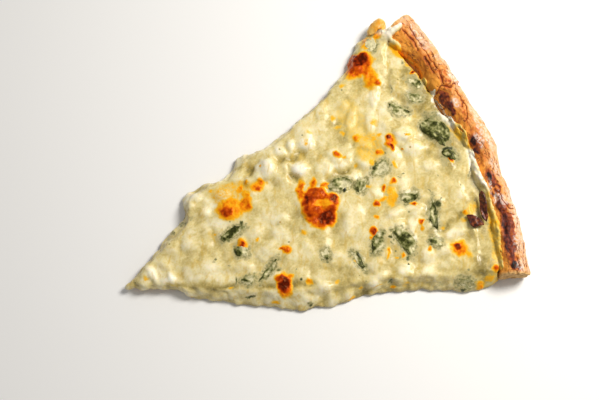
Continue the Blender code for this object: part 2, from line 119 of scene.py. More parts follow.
camera = bpy.data.objects.new("camera", bpy.data.cameras.new("camera"))
bpy.context.scene.collection.objects.link(camera)
camera.data.lens = 50.0
camera.data.sensor_width = 36.0
camera.data.clip_start = 0.01
camera.matrix_world = Matrix((picture_right, picture_up, towards_camera)).transposed().to_4x4()
camera.location = Vector(to_model(LOOKS_AT)) + towards_camera * DISTANCE
bpy.context.scene.camera = camera
print("camera at", [round(value, 3) for value in camera.location])

# %% [markdown]
# ## Small tools
#
# An operator acts on all that is selected, so one function selects just the pieces that are meant.
# Another adds a modifier and applies it. Points are read and written as arrays, which is quick for
# fine meshes.

# %% Selecting, and applying a modifier
def choose(*pieces):
    """Selects only these pieces, the first one active."""
    if bpy.context.mode != "OBJECT":
        bpy.ops.object.mode_set(mode="OBJECT")
    bpy.ops.object.select_all(action="DESELECT")
    for piece in pieces:
        piece.select_set(True)
    bpy.context.view_layer.objects.active = pieces[0]


def modify(piece, kind, **settings):
    """Adds a modifier with these settings and applies it."""
    choose(piece)
    modifier = piece.modifiers.new(kind.title(), kind)
    for name, value in settings.items():
        setattr(modifier, name, value)
    bpy.ops.object.modifier_apply(modifier=modifier.name)


def copy_solid(node, name):
    """A copy of a solid with its loose triangles merged into one skin."""
    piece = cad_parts[node].copy()
    piece.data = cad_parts[node].data.copy()
    piece.name = piece.data.name = name
    piece.parent = None
    for key in list(piece.keys()):
        del piece[key]
    bpy.context.scene.collection.objects.link(piece)
    choose(piece)
    bpy.ops.object.mode_set(mode="EDIT")
    bpy.ops.mesh.select_all(action="SELECT")
    bpy.ops.mesh.remove_doubles(threshold=0.01 * MM)
    bpy.ops.object.mode_set(mode="OBJECT")
    piece.data.materials.clear()
    return piece


# %% Reading and writing points
def read_points(piece):
    """The piece's points in metres, one row each."""
    points = np.empty(len(piece.data.vertices) * 3)
    piece.data.vertices.foreach_get("co", points)
    return points.reshape(-1, 3)


def read_normals(piece):
    """The way that the surface faces at each point."""
    normals = np.empty(len(piece.data.vertices) * 3)
    piece.data.vertices.foreach_get("normal", normals)
    return normals.reshape(-1, 3)


def write_points(piece, points):
    """Moves the points, and keeps them inside the solids' box."""
    inside = np.clip(points, np.array(cad_box[0]), np.array(cad_box[1]))
    piece.data.vertices.foreach_set("co", inside.ravel())
    piece.data.update()


def paint(piece, name, values):
    """Stores one number for each point, for a material to read."""
    layer = piece.data.attributes.new(name, "FLOAT", "POINT")
    layer.data.foreach_set("value", np.asarray(values, np.float32))


def triangles(piece):
    """How many triangles the piece has."""
    return sum(len(face.vertices) - 2 for face in piece.data.polygons)


# %% [markdown]
# ## Unevenness
#
# Food has no straight lines. Smooth noise at a few sizes in millimetres makes lumps, and its
# creases make cracks. Listed ovals say where a thing is, and noise bends their edges.

# %% Noise, ovals and lines
def ease(share):
    """A soft step: 0 below 0, 1 above 1 and an S curve between."""
    share = np.clip(share, 0.0, 1.0)
    return share * share * (3 - 2 * share)


def grain(places, size, seed):
    """Smooth noise between about -1 and 1, with lumps of this size in millimetres."""
    shifted = np.asarray(places) / size + np.array((seed, seed * 1.7, seed * 0.6))
    return np.array([noise.noise(Vector(point)) for point in shifted.tolist()])


def bubbles(places, size, seed):
    """Round bumps side by side, from 0 between them to 1 on top of each."""
    shifted = np.asarray(places) / size + np.array((seed, seed * 1.3, seed * 0.7))
    near = np.array([noise.voronoi(Vector(point))[0][0] for point in shifted.tolist()])
    return np.clip(1 - (near / 0.62) ** 2, 0.0, 1.0)


def ovals(places, rows, edge):
    """How far the strongest oval covers each place, fading inwards over edge millimetres."""
    cover = np.zeros(len(places))
    for x, y, half_length, half_width, turn, strength in rows:
        from_x, from_y = places[:, 0] - x, places[:, 1] - y
        slant = math.radians(turn)
        along = (from_x * math.cos(slant) + from_y * math.sin(slant)) / half_length
        across = (from_y * math.cos(slant) - from_x * math.sin(slant)) / half_width
        middle = (half_length + half_width) / 2
        inside = (1.3 - np.hypot(along, across)) * middle / min(edge, 1.05 * middle)
        cover = np.maximum(cover, strength * ease(inside))
    return cover


def stretches(places, stops):
    """Each stretch of a line through these stops, and the gap from its nearest point to each place."""
    for start, end in zip(stops, stops[1:]):
        start, end = np.array(start, float), np.array(end, float)
        run = end - start
        share = np.clip((places[:, :2] - start) @ run / (run @ run), 0, 1)
        yield run, places[:, :2] - (start + share[:, None] * run)


def line(places, stops, half_width):
    """1 along a line through these stops, fading to 0 at half its width."""
    nearest = np.full(len(places), np.inf)
    for _, gap in stretches(places, stops):
        nearest = np.minimum(nearest, np.hypot(gap[:, 0], gap[:, 1]))
    return ease(1 - nearest / half_width)


def bent(places, amount, size, seed):
    """The places pushed about sideways by noise, so that what is drawn there gets an uneven edge."""
    moved = np.array(places, float)
    moved[:, 0] += amount * grain(places, size, seed)
    moved[:, 1] += amount * grain(places, size, seed + 11.3)
    return moved


def as_seen(places, height=12.0):
    """Where the camera sees each place against a level sheet at this height."""
    eye = from_tip(np.array(camera.location))
    share = (height - places[:, 2]) / (eye[2] - places[:, 2])
    return places + (eye - places) * share[:, None]


# %% [markdown]
# ## Node helpers
#
# Colours are picked as sRGB hex values, the way a colour picker shows them, and turned to the
# linear values that the renderer works in. One function adds any node, with its settings, its
# values and its links, and short ones on top of it add the kinds that the finishes here use.

# %% Colours and nodes
def colour(hex_value):
    """A linear colour from an sRGB hex value."""
    parts = [int(hex_value[place:place + 2], 16) / 255 for place in (1, 3, 5)]
    linear = [part / 12.92 if part <= 0.04045 else ((part + 0.055) / 1.055) ** 2.4 for part in parts]
    return (*linear, 1.0)


def plug(tree, node, sockets):
    """Gives each of these inputs of a node its value or its link."""
    for key, value in sockets.items():
        if isinstance(value, bpy.types.NodeSocket):
            tree.links.new(value, node.inputs[key])
        else:
            node.inputs[key].default_value = value


def add(tree, kind, settings=None, sockets=None):
    """Adds a node. Settings are its own properties, and sockets are values or links."""
    made = tree.nodes.new(kind)
    for name, value in (settings or {}).items():
        setattr(made, name, value)
    plug(tree, made, sockets or {})
    return made


def painted(tree, name, output="Fac"):
    """What was painted on the points under this name."""
    return add(tree, "ShaderNodeAttribute", {"attribute_name": name}).outputs[output]


def noise_at(tree, places, scale, detail, distortion=0.0):
    """Noise between 0 and 1 at these places."""
    sockets = {"Vector": places, "Scale": scale, "Detail": detail, "Distortion": distortion}
    return add(tree, "ShaderNodeTexNoise", {}, sockets).outputs["Fac"]


def reckon(tree, operation, *values, clamp=False):
    """Arithmetic on these values, kept between 0 and 1 if it's clamped."""
    settings = {"operation": operation, "use_clamp": clamp}
    return add(tree, "ShaderNodeMath", settings, dict(enumerate(values))).outputs[0]


def spread(tree, value, low=0.0, high=1.0, to_low=0.0, to_high=1.0):
    """Stretches the part of a value from low to high over another range."""
    sockets = {"Value": value, "From Min": low, "From Max": high, "To Min": to_low, "To Max": to_high}
    return add(tree, "ShaderNodeMapRange", {}, sockets).outputs[0]


def blend(tree, share, first, second):
    """A colour this share of the way from the first to the second."""
    return add(tree, "ShaderNodeMix", {"data_type": "RGBA"}, {0: share, 6: first, 7: second}).outputs[2]


def ramp(tree, value, *stops):
    """A colour for each value, between stops whose first and second are the two ends."""
    made = add(tree, "ShaderNodeValToRGB", {}, {"Fac": value})
    elements = made.color_ramp.elements
    for number, (place, hex_value) in enumerate(stops):
        element = elements[number] if number < 2 else elements.new(place)
        element.position = place
        element.color = colour(hex_value)
    return made.outputs["Color"]


def bump(tree, height, strength, distance, over=None, invert=False):
    """Fine relief, this many metres deep, on top of another bump if one is given."""
    sockets = {"Height": height, "Strength": strength, "Distance": distance}
    if over is not None:
        sockets["Normal"] = over
    return add(tree, "ShaderNodeBump", {"invert": invert}, sockets).outputs["Normal"]


def new_material(name):
    """A material, its node tree, its shader and its object coordinates."""
    made = bpy.data.materials.new(name)
    made.use_nodes = True
    shader = made.node_tree.nodes["Principled BSDF"]
    places = add(made.node_tree, "ShaderNodeTexCoord").outputs["Object"]
    return made, made.node_tree, shader, places


def lumps_of(size):
    """The scale of a noise texture whose lumps are this many millimetres."""
    return 1 / (size * MM)


# %% [markdown]
# ## Crust
#
# The rim is bread: pale and floury outside, where it faced away from the heat of the fire, orange
# brown on top, and split where it puffed up. The flat base is hidden under the cheese but for its
# sides. The copy gets an even mesh with a Remesh modifier, which suits a form that has no edges to
# keep. What no one sees is thinned again.

# %% Crust mesh
CRUST_MESH = 0.7
RIM_WIDTH = 30
HIDDEN_SHARE = 0.04
UNDERSIDE_SHARE = 0.12
crust = copy_solid("crust", "baked_crust")
modify(crust, "REMESH", mode="VOXEL", voxel_size=CRUST_MESH * MM, use_smooth_shade=True)


def thin(piece, hidden, share):
    """Keeps this share of the faces whose points are all hidden."""
    choose(piece)
    bpy.ops.object.mode_set(mode="EDIT")
    bpy.ops.mesh.select_mode(type="VERT")
    bpy.ops.mesh.select_all(action="DESELECT")
    bpy.ops.object.mode_set(mode="OBJECT")
    piece.data.vertices.foreach_set("select", hidden)
    bpy.ops.object.mode_set(mode="EDIT")
    bpy.ops.mesh.select_mode(type="FACE")
    bpy.ops.mesh.decimate(ratio=share)
    bpy.ops.object.mode_set(mode="OBJECT")


places = from_tip(read_points(crust))
degrees, inset = round_pie(places)
thin(crust, (inset > RIM_WIDTH) & (in_from_cuts(places) > 6) & (places[:, 2] > 1.5), HIDDEN_SHARE)
places = from_tip(read_points(crust))
degrees, inset = round_pie(places)
thin(crust, (inset > 16) & (places[:, 2] < 1.0), UNDERSIDE_SHARE)
print("crust:", triangles(crust), "triangles")

# %% [markdown]
# The splits of the rim are lines in degrees and millimetres. Each is carved in and darkened. Where
# a split has torn the skin, the dough beside it stands up a little. At one place a fold in the
# dough has left a step across the rim. The two cut ends show the crumb, which is full of small
# holes.

# %% Crust relief
CRUST_SPLITS = [
    ((19.5, 4), (17.5, 6), (16, 6.5), (14.6, 8.4), (13.4, 9), (11.5, 9.8), (10.2, 12), (9, 12.9)),
    ((20.5, 8), (18.5, 9.5), (17.2, 9.2), (15.8, 11.5)), ((14.5, 11.5), (12.8, 13), (11.2, 13.4)),
    ((8.6, 20), (8.9, 15), (8.1, 11), (8.6, 5.5), (8.0, 3)),
    ((5.6, 7.4), (4.2, 8.4), (2.9, 11.2), (2.2, 13.9)), ((7.4, 8.5), (6.4, 7.2), (5.2, 8.8), (4.6, 11.5)),
    ((-6.0, 10), (-7.6, 11.6), (-9.4, 10.7)),
    ((-9.2, 14), (-9.8, 11), (-10.8, 10.4), (-12.0, 8.2), (-12.2, 5.0)),
    ((-12.6, 12.2), (-12.9, 9), (-13.1, 5.7)), ((-19.5, 9.0), (-20.8, 8.0), (-21.6, 9.5)),
]
RIM_MIDDLE = 8
MM_PER_DEGREE = math.radians(1) * (PIE_RADIUS - RIM_MIDDLE)
SPLIT_WIDTH = 1.6
LIP_WIDTH = 4.0
FAR = 9.0


def on_rim(rows):
    """Stops in degrees and millimetres in, both as millimetres."""
    return [(degree * MM_PER_DEGREE, depth) for degree, depth in rows]


def side_of(places, stops):
    """The distance from the nearest stretch of a line, with a minus sign on its right hand."""
    nearest = np.full(len(places), FAR)
    for run, gap in stretches(places, stops):
        away = np.hypot(gap[:, 0], gap[:, 1]) * np.sign(run[0] * gap[:, 1] - run[1] * gap[:, 0])
        nearest = np.where(np.abs(away) < np.abs(nearest), away, nearest)
    return nearest


places = from_tip(read_points(crust))
normals = read_normals(crust)
degrees, inset = round_pie(places)
unrolled = np.stack([degrees * MM_PER_DEGREE, inset, places[:, 2]], axis=1)
wandering = bent(bent(unrolled, 1.3, 4.5, 2.4), 0.5, 1.6, 3.1)
rim = ease((RIM_WIDTH - inset) / 6) * ease((places[:, 2] - 3) / 3)
split = np.zeros(len(places))
lips = np.zeros(len(places))
slit = np.full(len(places), FAR)
for stops in CRUST_SPLITS:
    split = np.maximum(split, line(wandering, on_rim(stops), SPLIT_WIDTH))
    lips = np.maximum(lips, line(wandering, on_rim(stops), LIP_WIDTH))
    away = side_of(wandering, on_rim(stops))
    slit = np.where(np.abs(away) < np.abs(slit), away, slit)
puffs = 0.6 * grain(places, 13, 3.3) + 0.42 * grain(places, 5.5, 8.1) + 0.2 * grain(places, 2.4, 4.2)
flaking = np.abs(grain(unrolled * np.array((0.5, 1.0, 1.0)), 3.4, 7.7))
seam_start, seam_end = 8.4 * MM_PER_DEGREE, 11.5 * MM_PER_DEGREE
seam = ease((wandering[:, 0] - seam_start) / 1.5) - ease((wandering[:, 0] - seam_end) / 9)
cut_end = ease((np.abs(degrees) - 21.2) / 0.6) * ease((28 - inset) / 4)
holes = bubbles(places, 2.6, 5.2) * ease(grain(places, 5, 2.8) + 0.6)
relief = rim * (
    puffs - 0.45 * split * ease((places[:, 2] - 8) / 5) + 0.5 * lips * (1 - split) + 0.8 * flaking)
relief += rim * (1.9 * seam - 0.8)
relief -= cut_end * 0.55 * holes
relief += (1 - rim) * 0.15 * grain(places, 2.4, 6.6)
write_points(crust, read_points(crust) + normals * relief[:, None] * MM)
print("relief of the crust", round(float(relief.min()), 2), "to", round(float(relief.max()), 2), "mm")

# %% [markdown]
# Baking turns dough through pale peach, gold, orange brown and dark red brown to black. One number
# from 0 to 1 holds how far each place has gone, so that a single ramp gives all these colours.
# Flour and crumb are kept apart, and so is the strip beside the cheese, where oil has soaked in and
# fried the dough golden. Scorched and floured places are ovals on the rim: degrees, millimetres in,
# half length, half width, turn in degrees, and strength.

# %% How far the crust is baked
SCORCHED = [
    (7.0, 18.2, 9, 3.6, -5, 0.8), (7.7, 19.0, 4, 2.6, -15, 0.9), (5.2, 17.8, 8, 2.2, -12, 0.84),
    (3.4, 16.4, 5, 1.8, -20, 0.7), (-0.9, 15.6, 5, 2.2, -20, 0.98), (-2.4, 16.8, 5, 2.4, 10, 0.92),
    (-1.6, 15.8, 9, 3.8, -5, 0.7), (-6.9, 14.4, 4.4, 3.0, 0, 1.0), (-9.6, 16.4, 4, 2.2, -20, 0.86),
    (-8.5, 13.2, 2.4, 1.4, 0, 0.92), (-7.2, 14.5, 7.5, 4.2, 0, 0.74), (-9.6, 11.0, 1.6, 1.2, 30, 0.85),
    (-8.6, 11.4, 4, 1.6, 40, 0.8), (-9.8, 13.4, 5, 1.4, -30, 0.9), (-10.6, 12.6, 4, 2.0, -20, 0.84),
    (-4.5, 15.8, 6, 2.2, 0, 0.66), (-11.6, 14.2, 6, 2.6, -8, 0.84), (-15.8, 12.4, 21, 4.2, -3, 0.72),
    (-15.4, 13.2, 15, 2.6, -4, 0.86), (-18.4, 11.6, 8, 2.6, -8, 0.8), (-20.4, 11.4, 5, 3.0, 0, 1.0),
    (-21.0, 8.5, 3, 2.0, 60, 0.86), (10.4, 8.2, 5, 1.6, -25, 0.6), (14.0, 12.0, 12, 3.4, -12, 0.44),
    (19.3, 13.0, 9, 4, 0, 0.4), (3.4, 12.4, 5, 2.0, -35, 0.62), (20.6, 6.0, 2, 1.0, 20, 0.86),
    (-13.2, 6.8, 2.4, 1.4, 60, 0.72), (9.2, 9.0, 4, 3.0, 70, 0.66), (-11.6, 8.6, 3.4, 1.6, 50, 0.66),
]
FLOURED = [
    (5.7, 13.2, 4.5, 2.6, 0, 0.95), (-1.2, 12.0, 6, 2.6, 0, 0.8), (-8.4, 16.2, 5, 1.6, -15, 0.95),
    (-10.3, 14.6, 5, 1.4, -30, 0.95), (-10.9, 10.6, 5, 3.0, 0, 0.8), (-17.4, 7.7, 6, 2.8, 0, 0.6),
    (-20.6, 7.2, 4, 2.8, 0, 0.9), (17.5, 4.0, 10, 2.4, -10, 0.6), (9.6, 4.6, 6, 2.2, 0, 0.7),
    (0.5, 5.0, 16, 3.0, 0, 0.6), (-6.0, 8.6, 8, 2.4, 0, 0.5), (-14, 4.5, 18, 2.6, 0, 0.5),
]


def rim_ovals(rows, edge):
    """Ovals whose places are in degrees and millimetres in, over the rim."""
    flat = [(row[0] * MM_PER_DEGREE, *row[1:]) for row in rows]
    return ovals(bent(wandering, 1.4, 3.6, 9.3), flat, edge)


over_top = ease((places[:, 2] - 6) / 9)
inner = ease((inset - 4) / 12)
toast = (0.13 + 0.2 * over_top + 0.2 * inner * over_top
         + 0.12 * grain(places, 14, 9.1) + 0.12 * grain(places, 4.5, 1.6))
toast += 0.12 * split + 0.05 * lips
toast = np.maximum(toast, rim_ovals(SCORCHED, 3.4))
toast += 0.1 * grain(places, 2.2, 7.1) * rim
toast = np.where(inset > 27, 0.3 + 0.1 * grain(places, 5, 3.0), toast)
underneath = ease((1.6 - places[:, 2]) / 1.2) * ease(-normals[:, 2])
spotted = 0.4 + 0.3 * grain(places, 9, 7.4) + 0.15 * grain(places, 3, 2.2)
toast = toast * (1 - underneath) + underneath * spotted
flour = rim_ovals(FLOURED, 2.6) * rim + 0.5 * ease((5 - inset) / 6) * ease(grain(places, 6, 5.5) + 0.6)
flour += 0.5 * underneath * ease(grain(places, 14, 3.6) * 1.5 + 0.4)
rim_width = np.interp(degrees, (8, 14, 20), (21, 19, 17))
golden = rim * ease((inset - rim_width + 9 + 2 * grain(places, 5, 2.1)) / 5) * ease(1.7 - 2 * toast)
at_cut = ease((1.6 - np.abs(in_from_cuts(places))) / 1.2)
crumb = np.clip(cut_end + at_cut * ease((places[:, 2] - 0.6) / 0.8), 0, 1)
shares = {
    "toast": toast, "flour": flour, "golden": golden, "crumb": crumb, "holes": holes, "split": split,
    "dry_skin": rim * (1 - underneath)}
for name, share in shares.items():
    paint(crust, name, np.clip(share, 0, 1))
paint(crust, "slit", np.clip(slit, -4, 4))
along_rim = crust.data.attributes.new("along_rim", "FLOAT_VECTOR", "POINT")
along_rim.data.foreach_set("vector", unrolled.astype(np.float32).ravel())

# %% [markdown]
# The finish is baked wheat dough: dull, since flour scatters light, with a fine skin of blisters
# under a millimetre across. Dark places are a little glossier, because the sugar there has melted.
# As the skin dried it cracked into hairlines that run along the rim, so their pattern is drawn in
# millimetres along and across the rim.

# %% Baked wheat dough
dough, tree, shader, object_places = new_material("baked wheat dough")
toasted = painted(tree, "toast")
floured = painted(tree, "flour")
fried = painted(tree, "golden")
crumbed = painted(tree, "crumb")
pitted = painted(tree, "holes")
slits = painted(tree, "slit")
splits = painted(tree, "split")
round_rim = painted(tree, "along_rim", "Vector")
dry_skin = painted(tree, "dry_skin")
stretched = add(tree, "ShaderNodeMapping", {}, {
    "Vector": round_rim, "Scale": (0.3, 1.0, 0.8)}).outputs["Vector"]
drying = noise_at(tree, stretched, 1 / 2.8, 4.0, 0.5)
patches = noise_at(tree, round_rim, 1 / 12.0, 1.0)
speckle = noise_at(tree, object_places, lumps_of(1.6), 4.0)
off_middle = reckon(tree, "SUBTRACT", drying, 0.5)
distance = reckon(tree, "ABSOLUTE", off_middle)
hairline = spread(tree, distance, 0.005, 0.018, to_low=1.0, to_high=0.0)
where_dry = spread(tree, patches, 0.4, 0.5, to_high=dry_skin)
hairlines = reckon(tree, "MULTIPLY", hairline, where_dry)
slit_gap = reckon(tree, "ABSOLUTE", slits)
slit_line = spread(tree, slit_gap, 0.12, 0.5, to_low=1.0, to_high=0.0)
split_on = spread(tree, splits, 0.35, 0.8)
slit_mask = reckon(tree, "MULTIPLY", slit_line, split_on)
cracks = reckon(tree, "MAXIMUM", hairlines, slit_mask, clamp=True)
shift = reckon(tree, "MULTIPLY_ADD", speckle, 0.4, -0.2)
varied = reckon(tree, "ADD", toasted, shift, clamp=True)
baked = ramp(
    tree, varied, (0.0, "#EEDAC2"), (1.0, "#140704"), (0.2, "#E3B490"), (0.4, "#DA954C"),
    (0.56, "#C86C1E"), (0.7, "#9A4117"), (0.82, "#62200D"), (0.92, "#350F07"))
fried_share = spread(tree, fried, to_high=0.85)
with_oil = blend(tree, fried_share, baked, colour("#F0A032"))
dusty = spread(tree, speckle, 0.38, 0.62)
dust = reckon(tree, "MULTIPLY", floured, dusty, clamp=True)
dusted = blend(tree, dust, with_oil, colour("#F1E2D4"))
cracked = blend(tree, cracks, dusted, colour("#8A3E14"))
bread = blend(tree, pitted, colour("#DDB273"), colour("#9E682C"))
surface = blend(tree, crumbed, cracked, bread)
skin = noise_at(tree, object_places, lumps_of(0.9), 3.0)
rough_skin = bump(tree, skin, 0.5, 0.35 * MM)
flaky = bump(tree, drying, 0.45, 1.6 * MM, over=rough_skin)
opened = bump(tree, cracks, 0.9, 0.5 * MM, over=flaky, invert=True)
shine = spread(tree, varied, to_low=0.75, to_high=0.55)
plug(tree, shader, {"Base Color": surface, "Normal": opened, "Roughness": shine, "IOR": 1.4})
crust.data.materials.append(dough)

# %% [markdown]
# ## One piece laid on another
#
# The cheese creeps up the rim, and the spinach lies on the cheese. To lay one surface on another, a
# ray is dropped on the finished piece below and its height is read off, which follows every bump
# without a simulation.

# %% How high a finished surface is
def surface_of(piece):
    """A tree of the piece's faces, to ask where a ray meets it."""
    return BVHTree.FromPolygons(
        [tuple(point) for point in read_points(piece)],
        [tuple(face.vertices) for face in piece.data.polygons])


def height_on(surface, x, y):
    """The surface's height at a place of the model, in metres, or None beside it."""
    hit = surface.ray_cast(Vector((x, y, 0.1)), Vector((0.0, 0.0, -1.0)))[0]
    return hit.z if hit else None


crust_surface = surface_of(crust)

# %% [markdown]
# ## Cheese
#
# The topping is cream, mozzarella and ricotta, melted together and set as it cooled: soft lumps,
# thin places where it looks yellow and clear, and blisters that browned under the top heat. A
# sculptor would push this about with brushes. Here the copy of the solid gets a fine even mesh, and
# arrays move its points, which is the same thing in code.
#
# Before the mesh is made, drops of cheese are put where the solid is too plain: a strand that
# climbs the rim's back end, a filling beside the artichoke heart, and small drops where the edge
# tore as the pie was pulled apart. A drop is a sphere, and the Remesh modifier melts them all into
# one skin.

# %% Drops of cheese
drops = [  # place and radius in millimetres
    (228, 93, 9.0, 3.0), (232, 94, 10.8, 2.6), (236.5, 94.4, 12.8, 3.0), (240, 94.4, 14.6, 3.2),
    (243.5, 94.5, 16.2, 3.0), (247, 95, 17.6, 2.9), (250, 95.4, 18.2, 3.0), (253, 96, 18.4, 2.6),
    (255.5, 96.8, 18.6, 2.0), (234, 98, 6.5, 5.5), (239, 96.5, 8.5, 5.2), (243, 95.2, 10.5, 4.6),
    (230, 97, 6.0, 5.0), (243.5, 99, 9.5, 3.4), (232, 102, 6.5, 3.4), (236, 102, 7.5, 3.6),
    (240.5, 103, 8.5, 3.0), (246, 98, 12.5, 3.2), (240, 100, 8, 3.8),
]
TORN_EDGE = [  # degrees round the pie, and millimetres in from its edge
    (9.0, 20.2), (7.6, 21.4), (6.0, 21.8), (4.4, 21.2), (3.0, 20.4), (-2.4, 20.2), (-4.4, 20.8),
    (-6.6, 20.0), (-8.0, 19.0), (1.9, 21.2), (0.9, 21.6), (-0.2, 21.4), (-1.2, 21.0),
]
DROPS_EACH = 4
chance = random.Random(5)
for degree, depth in TORN_EDGE:
    for _ in range(DROPS_EACH):
        turn = math.radians(degree + chance.uniform(-0.45, 0.45))
        reach = PIE_RADIUS - depth + chance.uniform(-1.2, 1.6)
        height = chance.uniform(12.0, 14.6)
        radius = chance.uniform(1.2, 2.6)
        drops.append((reach * math.cos(turn), reach * math.sin(turn), height, radius))
print(len(drops), "drops of cheese")

# %% Cheese mesh
CHEESE_MESH = 0.8
CHEESE_UNDERSIDE_SHARE = 0.06
cheese = copy_solid("cheese", "melted_cheese")
for x, y, z, radius in drops:
    bpy.ops.mesh.primitive_uv_sphere_add(
        segments=16, ring_count=8, radius=radius * MM, location=to_model((x, y, z)), rotation=(0, 0, x + y))
    drop = bpy.context.object
    choose(cheese, drop)
    bpy.ops.object.join()
modify(cheese, "REMESH", mode="VOXEL", voxel_size=CHEESE_MESH * MM, use_smooth_shade=True)
modify(cheese, "SMOOTH", factor=0.5, iterations=4)
places = from_tip(read_points(cheese))
normals = read_normals(cheese)
thin(cheese, normals[:, 2] < -0.6, CHEESE_UNDERSIDE_SHARE)
print("cheese:", triangles(cheese), "triangles")

# %% [markdown]
# The browned spots are ovals, laid out as the camera sees them: place, half length, half width,
# turn in degrees, and how brown, where 0.3 is yellow, 0.6 orange and 1 a dark red brown.

# %% Where the cheese browned
BROWNED = [
    (89.5, 20.5, 10.5, 8, -20, 0.46), (87, 20, 6, 5, -5, 0.84), (86, 30, 8, 4, -10, 0.22),
    (236, 98.5, 6, 3, 10, 0.45), (246, 81, 9, 4.5, -62, 0.42), (253, 80, 3, 2.4, -60, 0.5),
    (248, 70, 3, 2, 30, 0.3), (243, 97, 3.5, 2.2, 0, 0.34), (228, 96, 8, 4.5, 10, 0.4),
    (96, 32, 17, 7, -12, 0.24), (197, 22, 12, 9, 60, 0.22), (195, 40, 12, 8, 60, 0.16),
    (193, 52, 10, 9, 60, 0.16), (233, -95, 5, 2.5, 5, 0.36), (225, -97, 3, 1.5, 0, 0.4),
    (240, -91, 2.5, 3, 0, 0.8), (197, -16.5, 9.5, 4.2, 68, 0.34), (243, -47, 8, 4, 20, 0.22),
    (94, 18, 6, 5, -25, 0.5), (101, 20, 7, 5.5, 45, 0.55), (102.5, 17.5, 4, 3, 45, 0.66),
    (101, 31, 3.5, 3, -5, 0.6), (107, 34, 2, 2, -25, 0.45), (81, 39, 2.5, 2, -25, 0.28),
    (88, -6, 5, 4.5, 65, 0.6), (88, -6, 3, 2.5, 65, 0.95), (73, 8, 2, 2, -25, 0.38),
    (18, -2, 3.5, 2.5, -45, 0.34), (42, -26, 2, 1.5, -25, 0.55), (147, -3.5, 14, 11, -85, 0.74),
    (149, -12, 7.5, 7, -30, 0.96), (141, 4, 6, 4, 60, 0.94), (159, -2, 6, 4.5, -70, 0.94),
    (147, 8.5, 10, 4, -25, 0.68), (141, 13.5, 9, 3.6, 62, 0.6), (150, 14, 5.5, 3, 60, 0.6),
    (157, 10, 4.5, 3, -25, 0.62), (248, 62.5, 2.2, 1.6, -25, 1.0), (104, 26.5, 5, 4, 30, 0.48),
    (113, 28.5, 4.5, 5.5, 65, 0.55), (115, 29, 5.5, 4, 45, 0.56), (113, 27, 2.5, 2.5, -25, 0.72),
    (100, -8, 2, 2, 65, 0.4), (115, -22, 4, 4, -25, 0.66), (112, -21, 2, 1.5, -25, 0.78),
    (131, -16, 3.5, 2.5, -5, 0.32), (122, 40, 1.5, 1, 65, 0.5), (174, 27, 3.5, 2.5, -40, 0.62),
    (177, 23, 2.5, 1.5, -45, 0.42), (192, 32, 4, 3.5, -25, 0.5), (183, 14, 3, 2.5, 65, 0.3),
    (184, 40, 3, 2, -25, 0.32), (158, 44, 4.5, 2, 65, 0.28), (156, -49, 2.5, 1.5, -25, 0.42),
    (120, 28, 2, 2, 65, 0.3), (162, 51, 4, 1.5, -25, 0.26), (218, 86, 8, 6, 10, 0.97),
    (209, 81.5, 7, 3.5, 30, 0.84), (215, 83, 12, 8, 25, 0.66), (218.5, 70, 9, 6, 70, 0.5),
    (218, 77, 6, 6, 60, 0.6), (222, 65, 3.5, 2.5, 65, 0.78), (211, 76, 6, 2.5, -10, 0.5),
    (198, 73, 2.5, 2.5, -25, 0.28), (207, 38, 4, 3, 65, 0.28), (182, 53, 2.5, 2.5, 65, 0.3),
    (183, 45, 4, 2.5, -25, 0.3), (249, 78, 2.5, 2, 65, 0.46), (202, 27, 3.5, 2.5, 65, 0.3),
    (206, 28, 3.5, 1.5, -25, 0.42), (257, 8, 9, 3.6, -75, 0.26), (212, 23, 3, 2, 65, 0.98),
    (212, 16, 3.5, 2, 75, 0.98), (212, 20, 7, 4, 75, 0.58), (217, 12, 1.5, 1, -25, 0.85),
    (225, 20, 1.5, 1, -25, 0.5), (202, 16, 3, 2.5, -25, 0.6), (194, 12, 3, 3, 65, 0.34),
    (208, 4, 3.5, 1.5, 65, 0.42), (202, -7, 3, 2.5, -25, 0.68), (194, -9, 3.5, 2, 65, 0.78),
    (185, -17, 3, 3, -25, 0.8), (190, -16, 3.5, 2, 5, 0.5), (185, -3, 3, 2, -25, 0.32),
    (209, -28, 3.5, 2, -25, 0.78), (246, -8, 3.5, 2, -85, 0.97), (181, -26, 2, 2, 65, 0.5),
    (175, -34, 4, 2.5, 65, 0.86), (172, -38, 2, 1.5, 65, 0.55), (177, -54, 3.5, 1.5, 65, 0.5),
    (180, -51, 3, 1.5, 65, 0.56), (182, -57, 1.5, 1, -25, 0.5), (187, -57, 2, 1.5, 65, 0.55),
    (208, -42, 2.5, 2, 65, 0.78), (207, -46, 2.5, 1.5, 65, 0.45), (205, -61, 2.5, 2, 65, 0.7),
    (223, -67, 4, 3.5, -50, 1.0), (224, -69, 7.5, 6, -45, 0.52), (228, -75, 3.5, 3, -25, 0.34),
    (238, -47, 2.5, 2, -25, 0.5), (235, -52, 4, 2.5, -10, 0.3), (152, -68, 2, 1.5, 65, 0.3),
    (161, -69, 5.5, 0.5, -20, 0.36), (220, -51, 1.5, 1.5, 65, 0.38), (226, -96, 4, 2.5, -25, 0.5),
    (172, -75, 2, 1, -25, 0.4), (182, -77, 2, 1, -25, 0.26), (105, -44, 8, 5, 75, 0.98),
    (105, -39.5, 6.5, 3.5, -25, 0.94), (105, -45, 9.5, 6, 75, 0.6), (111, -40, 4, 2.5, -40, 0.56),
    (95, -53, 4, 2, -25, 0.34), (121, -49, 3, 2.5, 65, 0.46), (143, -71, 3, 2, -15, 0.38),
    (139, -57, 2, 2, 65, 0.34), (70, -32, 2, 1, -25, 0.34),
]

# %% [markdown]
# Cooked spinach shows grey green where a thin film of cheese lies over it, and nearly black where
# it's bare. The film's tint is painted by ovals of the same kind, and the leaves themselves come
# later.

